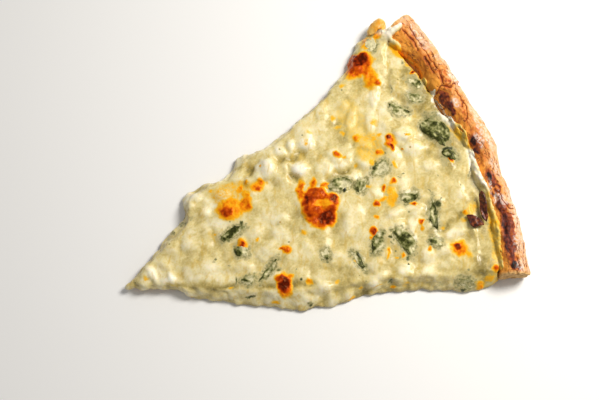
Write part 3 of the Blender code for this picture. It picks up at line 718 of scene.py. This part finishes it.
# %% Where spinach lies just under the cheese
SPINACH_UNDER = [
    (79, 2, 4.5, 2.5, 5, 0.6), (87, 6, 4, 2, 10, 0.95), (93, 8, 2.5, 1.5, 75, 0.85),
    (84, -9, 3.5, 3.5, 65, 0.85), (54, 25, 3.5, 2, 5, 0.5), (56, 30, 1.5, 1, -25, 0.8),
    (61, 26, 3, 1.5, 45, 0.4), (46, 21, 2, 1.5, 5, 0.5), (41, 19, 1.5, 1, -5, 0.4),
    (165, 8, 3.5, 3, -25, 0.5), (169, 11, 4, 1.5, -5, 0.5), (168, 1, 3, 2, -65, 1.0),
    (178, -1, 4.5, 3.5, -5, 0.6), (117, -3, 2, 2, 65, 0.35), (140, 25, 1, 1, 65, 0.7),
    (140, -33, 3.5, 1, -5, 0.45), (109, -23, 1.5, 1, 65, 0.5), (246, 72, 2.5, 2, -55, 0.5),
    (229, 56, 4.5, 1, 75, 0.4), (227, 41, 3, 2.5, -25, 0.6), (242, 41, 4, 4, 65, 0.5),
    (245, 52, 5, 2.5, 65, 0.4), (241, 60, 2, 2, 65, 0.4), (243, 23, 4.5, 3.5, -25, 0.55),
    (243, 27, 4.5, 3.5, 65, 0.4), (248, 22, 8, 6, -30, 0.42), (249, 13, 7, 6, 0, 0.45),
    (240, 12, 3, 2.5, 85, 0.75), (246, 11, 5, 1.5, -15, 0.65), (254, 12, 4.5, 2, 45, 0.6),
    (246, -1, 4, 2.5, -10, 0.9), (240, -4, 1, 1, 65, 0.7), (240, -9, 3.5, 3, 65, 0.35),
    (205, 15, 2, 1.5, -25, 0.7), (196, 10, 2, 2, 65, 0.8), (201, 9, 2, 2, -25, 0.35),
    (195, 6, 3.5, 2, -25, 0.35), (210, -5, 2.5, 0.5, 15, 0.8), (207, -7, 1, 1, 65, 0.5),
    (206, -23, 3, 2.5, -25, 0.85), (209, -19, 2, 1, -25, 0.5), (213, -23, 3, 1, 65, 0.8),
    (209, -23, 4.5, 3, -25, 0.4), (222, -23, 4.5, 0.5, -55, 0.65), (223, -34, 3.5, 2.5, -5, 0.85),
    (227, -32, 3, 1, 50, 0.6), (216, -34, 3, 2, -25, 0.4), (247, -42, 1, 0.5, 65, 0.8),
    (254, -22, 5.5, 1, 35, 0.55), (243, -28, 1, 1, 65, 0.6), (232, -16, 1, 1, 65, 0.5),
    (224, -34, 3.5, 3, 65, 0.6), (172, -71, 2.5, 1.5, 30, 0.6), (214, -95, 3, 1.2, 40, 0.85),
    (200, -86, 5, 1.5, 5, 0.35), (220, -39, 2.5, 2, -5, 0.7), (214, -43, 3.5, 2.5, 75, 0.55),
    (219, -44, 1.5, 1, -25, 0.7), (214, -50, 4.5, 3, 65, 0.35), (209, -56, 2.5, 1.5, -45, 0.8),
    (193, -47, 3, 2.5, -45, 0.85), (189, -52, 3.5, 2, -65, 0.6), (194, -50, 4.5, 2, 55, 0.6),
    (191, -57, 3, 2, 65, 0.6), (189, -61, 3, 1.5, 65, 0.7), (188, -65, 1.5, 0.5, -25, 0.9),
    (192, -64, 2.5, 2.5, -25, 0.35), (177, -43, 3.5, 1.5, 15, 0.8), (171, -45, 2.5, 1.5, -25, 0.7),
    (184, -43, 1, 1, -25, 0.8), (184, -47, 1.5, 1, 45, 0.6), (159, -45, 4.5, 1, 85, 0.8),
    (159, -54, 3, 1, -5, 0.75), (154, -59, 1.5, 0.5, 65, 0.7), (172, -73, 1.5, 1, 65, 0.5),
    (217, -94, 2.5, 1, 5, 0.8), (217, -92, 4, 2, -25, 0.35), (105, -33, 4, 1, 5, 0.6),
    (97, -34, 2, 1, -20, 0.7), (89, -37, 2, 2, -25, 0.5), (117, -37, 1.5, 1, 65, 0.6),
    (117, -45, 1, 1, -25, 0.8), (116, -63, 2.5, 2.5, -25, 0.5), (116, -64, 1.5, 1, 65, 0.8),
    (83, -43, 2, 0.5, 25, 0.7), (82, -31, 3, 1, -35, 0.95), (75, -28, 4, 1, 60, 0.6),
    (80, -43, 3.5, 1, 0, 0.8), (77, -42, 1, 1, -55, 0.9), (74, -17, 1, 1, -25, 0.5),
    (65, -9, 2, 1.5, -25, 0.35), (91, -13, 1.5, 0.5, 55, 0.6),
]

# %% [markdown]
# The relief has three sizes. Broad swells come from the dough and from how the cheese ran. On them
# sit curds, round lumps a few millimetres high that melted into each other. The ones that the
# picture shows clearly are listed: place, half length, half width, turn, height in
# millimetres. Folds are lines along which the cheese sank, and a few ovals stay paler inside the
# brown ones. A light smoothing joins it all like a melt.

# %% Curds, and the spots that stay paler
CURDS = [
    (22, -1, 8, 3, -80, 1.7), (34, -7.5, 4.5, 2.6, 80, 1.6), (122, 38, 9, 6.5, 20, 1.9),
    (146, 46, 5.5, 3, 75, 1.8), (157, 44, 5, 6, 65, 1.6), (146, 27, 6, 4.5, -10, 1.9),
    (138, 46, 4, 5, 65, 1.2), (130, -57, 5, 4, -25, 1.4), (170, 3, 5.5, 2.5, 45, 1.3),
    (223, 22, 5.5, 6.5, 65, 1.3), (203, -39, 8, 4, 50, 1.3), (226, -33, 3.5, 3, -25, 0.8),
    (72, 26, 4.5, 4, -25, 1.1), (66, 41, 5, 4, -20, 1.0), (88, 33, 6, 4, -20, 1.0),
    (194, -28, 6.5, 4, -5, 1.0), (225, -58, 8, 3.5, -15, 1.2), (259, -16, 9, 3.5, -85, 0.8),
    (193, 47, 9, 3.5, 60, 0.9), (216, 57, 11, 3, 60, 0.9), (236, 65, 12, 3.5, 55, 0.8),
    (230, -7, 6, 5, -25, 0.9), (184, -66, 6, 4.5, -40, 1.0), (197, -72, 5, 4, 10, 0.9),
    (212, -75, 6, 4, -20, 0.9), (60, 12, 11, 7, 20, 0.8), (160, 20, 9, 5, 60, 0.7),
    (176, 60, 8, 4, 60, 0.9), (120, 6, 10, 7, 0, 0.7), (102, -20, 9, 5, -30, 0.7), (205, 40, 8, 4, 60, 0.8),
    (166, -20, 9, 6, 30, 0.6), (150, -45, 12, 5, -25, 0.8), (240, -60, 7, 4, 70, 0.9),
]
FOLDS = [
    ((30, -13), (52, -22), (88, -38), (110, -47), (133, -57)),
    ((132, 41), (140, 38.5), (146, 37), (152, 38)), ((112, 47), (114, 38), (110, 30)),
    ((140, 33), (139, 24), (143, 19)), ((210, -50), (222, -51), (234, -47)),
    ((176, 12), (168, 15), (160, 12)),
]
PALER = [
    (152, -2, 6.5, 2.6, -20, 0.3), (144, 12.5, 2.6, 1.6, 60, 0.4), (153, 12, 2.2, 1.5, 60, 0.35),
]

# %% Cheese relief
places = from_tip(read_points(cheese))
normals = read_normals(cheese)
degrees, inset = round_pie(places)
seen = as_seen(places)
flowing = bent(places, 3.2, 13, 4.7)
lumpy = ease(grain(places, 28, 2.2) * 1.7 + 0.55)
big_curds = bubbles(flowing * np.array((1.0, 1.15, 1.0)), 13.0, 3.1)
small_curds = bubbles(bent(places, 2.0, 6, 8.3), 7.0, 6.9)
swell = 0.8 * grain(places, 18, 1.1) + 0.55 * grain(places, 8.5, 6.2) + 0.12 * grain(places, 4, 9.3)
curds = (1.9 * big_curds - 0.7) * (0.15 + 0.85 * lumpy) + (0.55 * small_curds - 0.18) * lumpy
placed = ovals(bent(seen, 1.4, 5, 3.3), CURDS, 4.5)
folds = np.zeros(len(places))
for stops in FOLDS:
    folds = np.maximum(folds, line(bent(seen, 3.0, 9, 9.7), stops, 4.2))
folds *= ease(grain(places, 12, 3.7) * 1.2 + 0.9)
soft = swell + curds * (1 - 0.6 * np.clip(placed, 0, 1)) + placed - 1.3 * folds
on_side = ease((0.85 - normals[:, 2]) / 0.25) * (inset > RIM_WIDTH)
soft += on_side * (1.3 * bubbles(bent(places, 2.0, 6, 6.1), 7.0, 4.7) - 0.5 + 0.5 * grain(places, 5, 7.9))
hidden = ease((-0.3 - normals[:, 2]) / 0.3)
relief = soft * (1 - hidden) + 0.3 * hidden * (inset > 26)
points = read_points(cheese) + normals * relief[:, None] * MM
write_points(cheese, points)
modify(cheese, "SMOOTH", factor=0.5, iterations=4)

# %% [markdown]
# Where the cheese meets the rim it's only a film that baked on, so its edge follows the rim's own
# bumps. The edge is given as stops of degrees and millimetres in. In three places it tore when the
# pie was pulled apart, and there it's thick, ragged and dried white. Points above the film are
# lowered to it, and low ones are lifted to cover the dough.

# %% The thin edge on the rim
EDGE = (
    (-22, 18.5), (-16, 16.8), (-9, 17.2), (-6, 19), (-2, 18), (1, 16.6), (4, 20.6), (7, 23.2),
    (9, 21), (13, 20), (16, 20.4), (18, 19.5), (19.5, 13), (20.5, 6), (22, 3),
)
FOOT_HEIGHT = 12.9
COVER = 0.6
TORN = [
    (5.6, 23, 16, 5, -8, 1.0), (-5.2, 19.5, 15, 4, 6, 1.0), (22, 14, 6.5, 14, 0, 1.0),
]
points = read_points(cheese)
places = from_tip(points)
normals = read_normals(cheese)
degrees, inset = round_pie(places)
ragged = bent(np.stack([degrees * MM_PER_DEGREE, inset, places[:, 2]], axis=1), 1.4, 3.0, 6.4)
torn = ovals(ragged, [(row[0] * MM_PER_DEGREE, *row[1:]) for row in TORN], 3)
edge_at, edge_depth = zip(*EDGE)
wobble = 1.3 * grain(ragged, 4.5, 5.1) + 0.8 * grain(ragged, 1.9, 1.2)
past_edge = np.clip(inset - np.interp(degrees, edge_at, edge_depth) + wobble, 0, 20)
lip = np.clip(past_edge / 1.8, 0, 1) ** 0.6
film = -0.7 + (1.7 + torn * (1.0 + 1.4 * bubbles(ragged, 3.4, 9.4))) * lip + 0.5 * past_edge
foot = (FOOT_HEIGHT + 0.8 * grain(places, 9, 4.6)) * np.clip(past_edge / 2.5, 0, 1) ** 0.5
on_top = ease((normals[:, 2] + 0.1) / 0.4)
border = ease((44 - inset) / 12)
for number in np.flatnonzero(border > 0):
    rim_height = height_on(crust_surface, points[number, 0], points[number, 1])
    if rim_height is not None:
        highest = rim_height + (film[number] * on_top[number] - 0.9 * (1 - on_top[number])) * MM
        highest = max(highest, foot[number] * on_top[number] * MM)
        lower = max(points[number, 2] - highest, 0.0)
        points[number, 2] -= lower * border[number]
        covered = rim_height + COVER * MM
        lying = past_edge[number] > 2.5 and on_top[number] > 0.9
        if lying and covered - 4 * MM < points[number, 2] < covered:
            points[number, 2] = covered
write_points(cheese, points)
modify(cheese, "SMOOTH", factor=0.5, iterations=2)

# %% [markdown]
# Blisters come last, so that no smoothing takes them away. Steam raised the cheese into small bubbles
# where it browned, so each place is lifted by how brown it is.

# %% Blisters
facing_up = ease((normals[:, 2] + 0.3) / 0.5)
brown_places = bent(bent(seen, 1.6, 5.0, 2.1), 0.8, 2.0, 5.9)
brown = (ovals(brown_places, BROWNED, 5.5) - ovals(brown_places, PALER, 2.4)) * facing_up
thin_edge = ease((5.5 + 3.5 * ease((-9 - degrees) / 3) - past_edge) / 4) * border * (1 - torn)
brown = np.maximum(brown, thin_edge * (0.2 + 0.12 * grain(ragged, 8, 2.6)))
brown = np.clip(brown, 0, 1) * (1 + 0.3 * grain(places, 3.0, 4.9))
blister = ease((brown - 0.3) / 0.35)
fizz = bubbles(bent(places, 0.6, 2, 1.5), 2.6, 8.8)
normals = read_normals(cheese)
relief = (blister * (0.35 + 0.55 * fizz) + 0.1 * grain(places, 2.2, 3.9)) * (1 - hidden)
write_points(cheese, read_points(cheese) + normals * relief[:, None] * MM)
print("cheese moved by", round(float(soft.min()), 1), "to", round(float(soft.max()), 1), "mm")

# %% [markdown]
# Colour follows the relief, partly as the cheese's own tone and partly as painted light and shade.
# Curds are white with a painted highlight, hollows and folds are olive yellow and painted darker as
# shade, and along the rim lies a wide hollow where the cheese is thin, olive and painted darker as
# shade. The low skirt at the front is painted darker as shade too. Spinach tints the cheese round
# every leaf, so the solids of the leaves are asked how near each place is.

# %% How the cheese is coloured
leaf_names = [name for name in sorted(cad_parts) if name.startswith("spinach")]
leaf_points = np.concatenate([from_tip(read_points(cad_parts[name])) for name in leaf_names])
near_leaf = KDTree(len(leaf_points))
for number, point in enumerate(leaf_points):
    near_leaf.insert((point[0], point[1], 0.0), number)
near_leaf.balance()
film_places = bent(places, 1.2, 3.0, 7.3)
gap = np.array([near_leaf.find((x, y, 0.0))[2] for x, y, _ in film_places])
green_places = bent(bent(seen, 1.3, 3.0, 7.3), 0.6, 1.3, 3.7)
green = np.maximum(ovals(green_places, SPINACH_UNDER, 2.6), 0.42 * ease(1 - (gap - 0.8) / 3.0)) * facing_up
# Painted shade: the band along the rim is painted darker olive, partly the thin cheese's own colour and
# partly shade.
valley_tint_and_shade = (ease((46 - inset) / 12) * ease((inset - 19) / 5)
          * ease(degrees * 0.12 + 0.75) * ease((18 - degrees) / 5))
oily_corner = ease((44 - inset) / 14) * ease((-9 - degrees) / 5)
# pale is the cheese's own tone together with painted light: raised curds are painted whiter as a highlight,
# and hollows and folds are painted darker as shade over their olive colour.
pale = 0.5 + 0.17 * soft + 0.2 * grain(places, 15, 2.9) - 0.34 * valley_tint_and_shade - 0.2 * folds - 0.2 * oily_corner
# Painted shade: the low front skirt, below about 6 mm, is painted darker. The cheese is also paler within
# 125 mm of the tip and darker within 36 mm of it.
pale += (0.09 * ease((125 - places[:, 0]) / 30) - 0.16 * ease((36 - places[:, 0]) / 20)
         - 0.22 * ease((6 - places[:, 2]) / 4))
dried = 0.9 * torn * ease((6.5 - past_edge) / 4) * ease(grain(ragged, 3, 4.4) * 2 + 1.0)
strand = ease((degrees - 20.3) / 0.5) * ease((24 - inset) / 6)
dried = np.maximum(dried, 0.9 * strand)
shares = {"brown": brown, "green": green, "pale": pale, "dried": dried}
for name, share in shares.items():
    paint(cheese, name, np.clip(share, 0, 1))

# %% [markdown]
# The finish is melted mozzarella and cream: milk fat scatters light a few millimetres into it, so
# it has subsurface scattering, and the oil that it sweats out makes it satin. Its thin places look
# yellow and clear, its curds white, and the painted tone also carries painted shade in hollows and
# a painted highlight on curds. Stains and strands are stretched the way the cheese was pulled.
# Specks of herb and pepper are dots of a Voronoi pattern with cells of 6.5 mm, and each cell's own
# random colour says how large and how green its dot is. Where the cheese browned, the sugar and
# protein turned to a dark glaze that reflects a warm light.

# %% Melted mozzarella
PULLED_TOWARDS = math.radians(66)
melted, tree, shader, object_places = new_material("melted mozzarella")
browned = painted(tree, "brown")
greened = painted(tree, "green")
# this tone holds the cheese's own colour together with its painted highlight and painted shade
tone_and_shade = painted(tree, "pale")
dried_share = painted(tree, "dried")
pulled = add(tree, "ShaderNodeMapping", {"vector_type": "TEXTURE"}, {
    "Vector": object_places, "Rotation": (0.0, 0.0, PULLED_TOWARDS),
    "Scale": (2.4, 1.0, 1.0)}).outputs["Vector"]
cloudy = noise_at(tree, object_places, lumps_of(6.0), 1.5, 0.8)
flecks = noise_at(tree, object_places, lumps_of(1.5), 2.0)
strands = noise_at(tree, pulled, lumps_of(4.0), 2.0, 0.8)
mottle = reckon(tree, "MULTIPLY_ADD", cloudy, 0.5, -0.25)
fine_mottle = reckon(tree, "MULTIPLY_ADD", flecks, 0.4, -0.2)
both_mottles = reckon(tree, "ADD", mottle, fine_mottle)
tone = reckon(tree, "ADD", tone_and_shade, both_mottles, clamp=True)
cream = ramp(
    tree, tone, (0.05, "#8F7D40"), (1.0, "#F8F2DE"), (0.28, "#BDA967"), (0.5, "#DCCA8C"),
    (0.72, "#EDE1B6"))
stain_share = spread(tree, strands, 0.54, 0.78, to_high=0.75)
stained = blend(tree, stain_share, cream, colour("#CDA93F"))
herbs = add(tree, "ShaderNodeTexVoronoi", {}, {"Vector": object_places, "Scale": lumps_of(6.5)})
herb_kind = add(tree, "ShaderNodeSeparateColor", {}, {"Color": herbs.outputs["Color"]})
herb_size = spread(tree, herb_kind.outputs["Red"], 0.45, 1.0, to_high=0.17)
herb_edge = reckon(tree, "SUBTRACT", herb_size, herbs.outputs["Distance"])
herb_share = spread(tree, herb_edge, 0.0, 0.05, to_high=0.8)
herb_tint = ramp(tree, herb_kind.outputs["Green"], (0.0, "#4B5230"), (1.0, "#B98A2E"), (0.5, "#7C8054"))
herbed = blend(tree, herb_share, stained, herb_tint)
frayed = reckon(tree, "MULTIPLY_ADD", flecks, 0.7, -0.38)
leafy = reckon(tree, "ADD", greened, frayed, clamp=True)
leafy_share = spread(tree, leafy, 0.02, 0.42)
leaf_tint = ramp(
    tree, leafy, (0.12, "#C9BD90"), (1.0, "#1E2009"), (0.38, "#A69C69"), (0.6, "#676835"),
    (0.8, "#3A3D17"))
with_leaf = blend(tree, leafy_share, herbed, leaf_tint)
toasty = reckon(tree, "MULTIPLY_ADD", flecks, 0.3, -0.15)
toast_edge = spread(tree, browned, 0.0, 0.15)
roughened = reckon(tree, "MULTIPLY", toasty, toast_edge)
toasted = reckon(tree, "ADD", browned, roughened, clamp=True)
toast_share = spread(tree, toasted, 0.04, 0.3)
toast_tint = ramp(
    tree, toasted, (0.06, "#DEC66E"), (1.0, "#4A0D02"), (0.2, "#E2B83C"), (0.38, "#F4AC1A"),
    (0.52, "#EA850A"), (0.66, "#CA5206"), (0.8, "#A03404"), (0.92, "#741C03"))
with_toast = blend(tree, toast_share, with_leaf, toast_tint)
with_dried = blend(tree, dried_share, with_toast, colour("#F4EEDC"))
fine = bump(tree, flecks, 0.1, 0.3 * MM)
glaze_bump = bump(tree, flecks, toast_share, 0.35 * MM, over=fine)
oily = spread(tree, cloudy, to_low=0.2, to_high=0.5)
warm = blend(tree, toast_share, colour("#FFFFFF"), colour("#F0A468"))
scatter = spread(tree, toast_share, to_low=0.16, to_high=0.0)
plug(tree, shader, {
    "Base Color": with_dried, "Normal": glaze_bump, "Roughness": oily, "Specular Tint": warm,
    "Subsurface Weight": scatter, "Subsurface Radius": (1.0, 0.7, 0.35),
    "Subsurface Scale": 2.0 * MM, "IOR": 1.42})
cheese.data.materials.append(melted)

# %% [markdown]
# ## Spinach
#
# A cooked leaf is limp and thin. Each one starts from its solid, is subdivided, and is laid on the
# finished cheese again by dropping every point onto it. Creases push parts of it under the surface.
# How far a place stands out is painted, because cheese creeps over the edges as a film and only the
# highest folds are bare. The outline of a leaf is pushed down the most, so that no cut edge shows.

# %% Spinach leaves
# how much more or less of these leaves is bare than of the rest
BARE = {"spinach_leaf_t": -0.2, "spinach_leaf_q": -0.05, "spinach_leaf_u": -0.1, "spinach_leaf_i": 0.4,
        "spinach_leaf_j": 0.45, "spinach_leaf_g": 0.1, "spinach_leaf_m": 0.15, "spinach_leaf_n": 0.15,
        "spinach_leaf_k": 0.15, "spinach_leaf_o": 0.25}
LEAF_TOP = 0.15
LEAF_UNDER = -0.5
cheese_surface = surface_of(cheese)
leaves = []
for name in sorted(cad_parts):
    if not name.startswith("spinach"):
        continue
    leaf = copy_solid(name, name.replace("spinach", "cooked"))
    modify(leaf, "SUBSURF", levels=2, render_levels=2, subdivision_type="SIMPLE")
    points = read_points(leaf)
    upper = read_normals(leaf)[:, 2] > 0
    outline = ease((0.92 - np.abs(read_normals(leaf)[:, 2])) / 0.3)
    places = from_tip(points)
    middle = places[:, :2].mean(axis=0)
    lengthwise = np.linalg.svd(places[:, :2] - middle, full_matrices=False)[2]
    folded = np.zeros_like(places)
    folded[:, :2] = (places[:, :2] - middle) @ lengthwise.T * np.array((0.5, 1.0))
    folded[:, 2] = places[:, 0].mean()
    side = 1 if len(leaves) % 2 else -1
    across = side * folded[:, 1] / np.abs(folded[:, 1]).max()
    dark_side = ease(0.25 + 0.8 * across + 0.6 * grain(places, 4.0, 2.2))
    share = 0.08 + BARE.get(name, 0.3 if "strip" in name else 0.05)
    under = ovals(bent(as_seen(places), 1.0, 2.6, 7.3), SPINACH_UNDER, 2.6)
    showing = (share + 0.8 * grain(folded, 2.4, 4.1) + 0.3 * grain(places, 1.6, 8.3)
               + 0.5 * dark_side + 0.5 * under)
    showing = np.clip(showing, 0, 1) * (1 - 0.7 * outline)
    crease = -0.1 + 0.6 * showing + 0.12 * grain(places, 1.8, 2.7) - 0.3 * outline
    for number, (x, y, _) in enumerate(points):
        floor_height = height_on(cheese_surface, x, y)
        if floor_height is not None:
            side_height = LEAF_TOP if upper[number] else LEAF_UNDER
            points[number, 2] = floor_height + (crease[number] + side_height) * MM
    write_points(leaf, points)
    paint(leaf, "bare", showing)
    leaves.append((name, leaf))
print(len(leaves), "leaves,", sum(triangles(leaf) for _, leaf in leaves), "triangles")

# %% [markdown]
# The finish is cooked spinach leaf: wet, nearly black green where it's bare, and grey green to cream
# where a film of cheese lies on it. The wet skin gives small clear highlights, tinted by oil, and
# the veins make colour and surface finely uneven.

# %% Cooked leaf
cooked, tree, shader, object_places = new_material("cooked spinach leaf")
bare = painted(tree, "bare")
veins = noise_at(tree, object_places, lumps_of(1.7), 3.0)
vein_share = reckon(tree, "MULTIPLY_ADD", veins, 1.1, -0.55)
dark_share = reckon(tree, "ADD", bare, vein_share, clamp=True)
leaf_colour = ramp(
    tree, dark_share, (0.0, "#DAD0A4"), (1.0, "#2A2D0F"), (0.25, "#B6AE82"), (0.5, "#8A8856"),
    (0.75, "#545729"))
wrinkled = bump(tree, veins, 0.35, 0.4 * MM)
plug(tree, shader, {
    "Base Color": leaf_colour, "Normal": wrinkled, "Roughness": 0.35, "IOR": 1.36,
    "Specular Tint": colour("#D8D2A0")})
for _, leaf in leaves:
    leaf.data.materials.append(cooked)
    leaf.data.shade_smooth()

# %% [markdown]
# ## Artichoke
#
# Two petals have dried out and turned dark and crisp on the cheese. At the back corner sits a soft
# piece of the heart, golden where it caught the heat.

# %% Petals and heart
petals = []
for name in ("artichoke_petal_wide", "artichoke_petal_long"):
    petal = copy_solid(name, name.replace("artichoke", "crisp"))
    modify(petal, "SUBSURF", levels=2, render_levels=2)
    places = from_tip(read_points(petal))
    ripple = 0.3 * grain(places, 3, 1.4) + 0.2 * grain(places, 1.4, 6.0)
    write_points(petal, read_points(petal) + read_normals(petal) * ripple[:, None] * MM)
    petal.data.shade_smooth()
    petals.append((name, petal))
heart = copy_solid("artichoke_heart", "golden_heart")
modify(heart, "REMESH", mode="VOXEL", voxel_size=0.5 * MM, use_smooth_shade=True)
places = from_tip(read_points(heart))
layers = 0.5 * np.abs(grain(places * np.array((0.5, 1.4, 1.0)), 3.4, 3.6)) + 0.25 * grain(places, 1.6, 2.5)
write_points(heart, read_points(heart) + read_normals(heart) * layers[:, None] * MM)
paint(heart, "toast", np.clip(0.25 + 0.06 * (places[:, 2] - 9) + 0.3 * grain(places, 4, 5.0), 0, 1))

# %% [markdown]
# A crisped artichoke petal has lost its water: it's a mottled dark red brown with orange brown
# patches, and the oil on it leaves a satin shine. A baked artichoke heart is moist and fibrous. It's
# cream below and turns golden to orange brown towards its top, and it shines a little less.

# %% Crisped artichoke, and artichoke heart
crisped, tree, shader, object_places = new_material("crisped artichoke petal")
mottled = noise_at(tree, object_places, lumps_of(2.2), 4.0)
crisp_colour = ramp(
    tree, mottled, (0.3, "#2A0D06"), (0.8, "#B06A2A"), (0.5, "#551F0C"), (0.62, "#7E3A14"))
plug(tree, shader, {"Base Color": crisp_colour, "Roughness": 0.36, "IOR": 1.45})
for _, petal in petals:
    petal.data.materials.append(crisped)

soft_heart, tree, shader, object_places = new_material("baked artichoke heart")
baked_share = painted(tree, "toast")
fibres = noise_at(tree, object_places, lumps_of(1.5), 4.0)
uneven = reckon(tree, "MULTIPLY_ADD", fibres, 0.4, -0.2)
heart_share = reckon(tree, "ADD", baked_share, uneven, clamp=True)
heart_colour = ramp(
    tree, heart_share, (0.0, "#F6EBD2"), (1.0, "#A8641A"), (0.35, "#E8BC62"), (0.65, "#D9931E"))
plug(tree, shader, {"Base Color": heart_colour, "Roughness": 0.45, "IOR": 1.45})
heart.data.materials.append(soft_heart)

# %% [markdown]
# ## Floor and light
#
# The floor is a matt painted board: pale, with hardly a reflection, so that it shows nothing but a
# soft shadow. The light comes from the picture's upper right, like a window, with a bright room all
# round that fills the shadows.

# %% Floor
bpy.ops.object.select_all(action="DESELECT")
bpy.ops.mesh.primitive_plane_add(size=6.0)
floor = bpy.context.object
floor.name = "pale_floor"
board, tree, shader, _ = new_material("matt painted board")
plug(tree, shader, {"Base Color": colour("#F2F1EF"), "Roughness": 0.7})
floor.data.materials.append(board)

# %% Lights
LIGHT_DISTANCE = 0.9
WINDOW_SIZE = 0.28
WINDOW_WATTS = 9.0
ROOM_STRENGTH = 0.33
key_from = (picture_right + picture_up * 0.55).normalized() * 0.75 + Vector((0.0, 0.0, 0.8))
key = bpy.data.objects.new("window", bpy.data.lights.new("window", "AREA"))
bpy.context.scene.collection.objects.link(key)
key.data.energy = WINDOW_WATTS
key.data.size = WINDOW_SIZE
key.data.color = (1.0, 0.97, 0.92)
key.location = Vector(to_model(LOOKS_AT)) + key_from.normalized() * LIGHT_DISTANCE
key.rotation_euler = key_from.to_track_quat("Z", "Y").to_euler()
world = bpy.data.worlds.new("room")
bpy.context.scene.world = world
world.use_nodes = True
room = world.node_tree.nodes["Background"]
plug(world.node_tree, room, {"Color": (1.0, 0.99, 0.98, 1.0), "Strength": ROOM_STRENGTH})
bpy.context.scene.view_settings.view_transform = "Standard"

# %% [markdown]
# ## Riding on the slice
#
# Every piece rides on the slice, and the solid that it stands for is hidden.

# %% Ride on the slice, and hide the solids
dressed = [(crust, "crust", "crust"), (cheese, "cheese", "cheese")]
dressed += [(heart, "artichoke_heart", "artichoke_heart")]
dressed += [(leaf, name, "spinach") for name, leaf in leaves]
dressed += [(petal, name, "artichoke") for name, petal in petals]
for piece, node, finish in dressed:
    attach(piece, "root")
    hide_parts(node)
print(len(dressed), "pieces,", sum(triangles(piece) for piece, _, _ in dressed), "triangles")
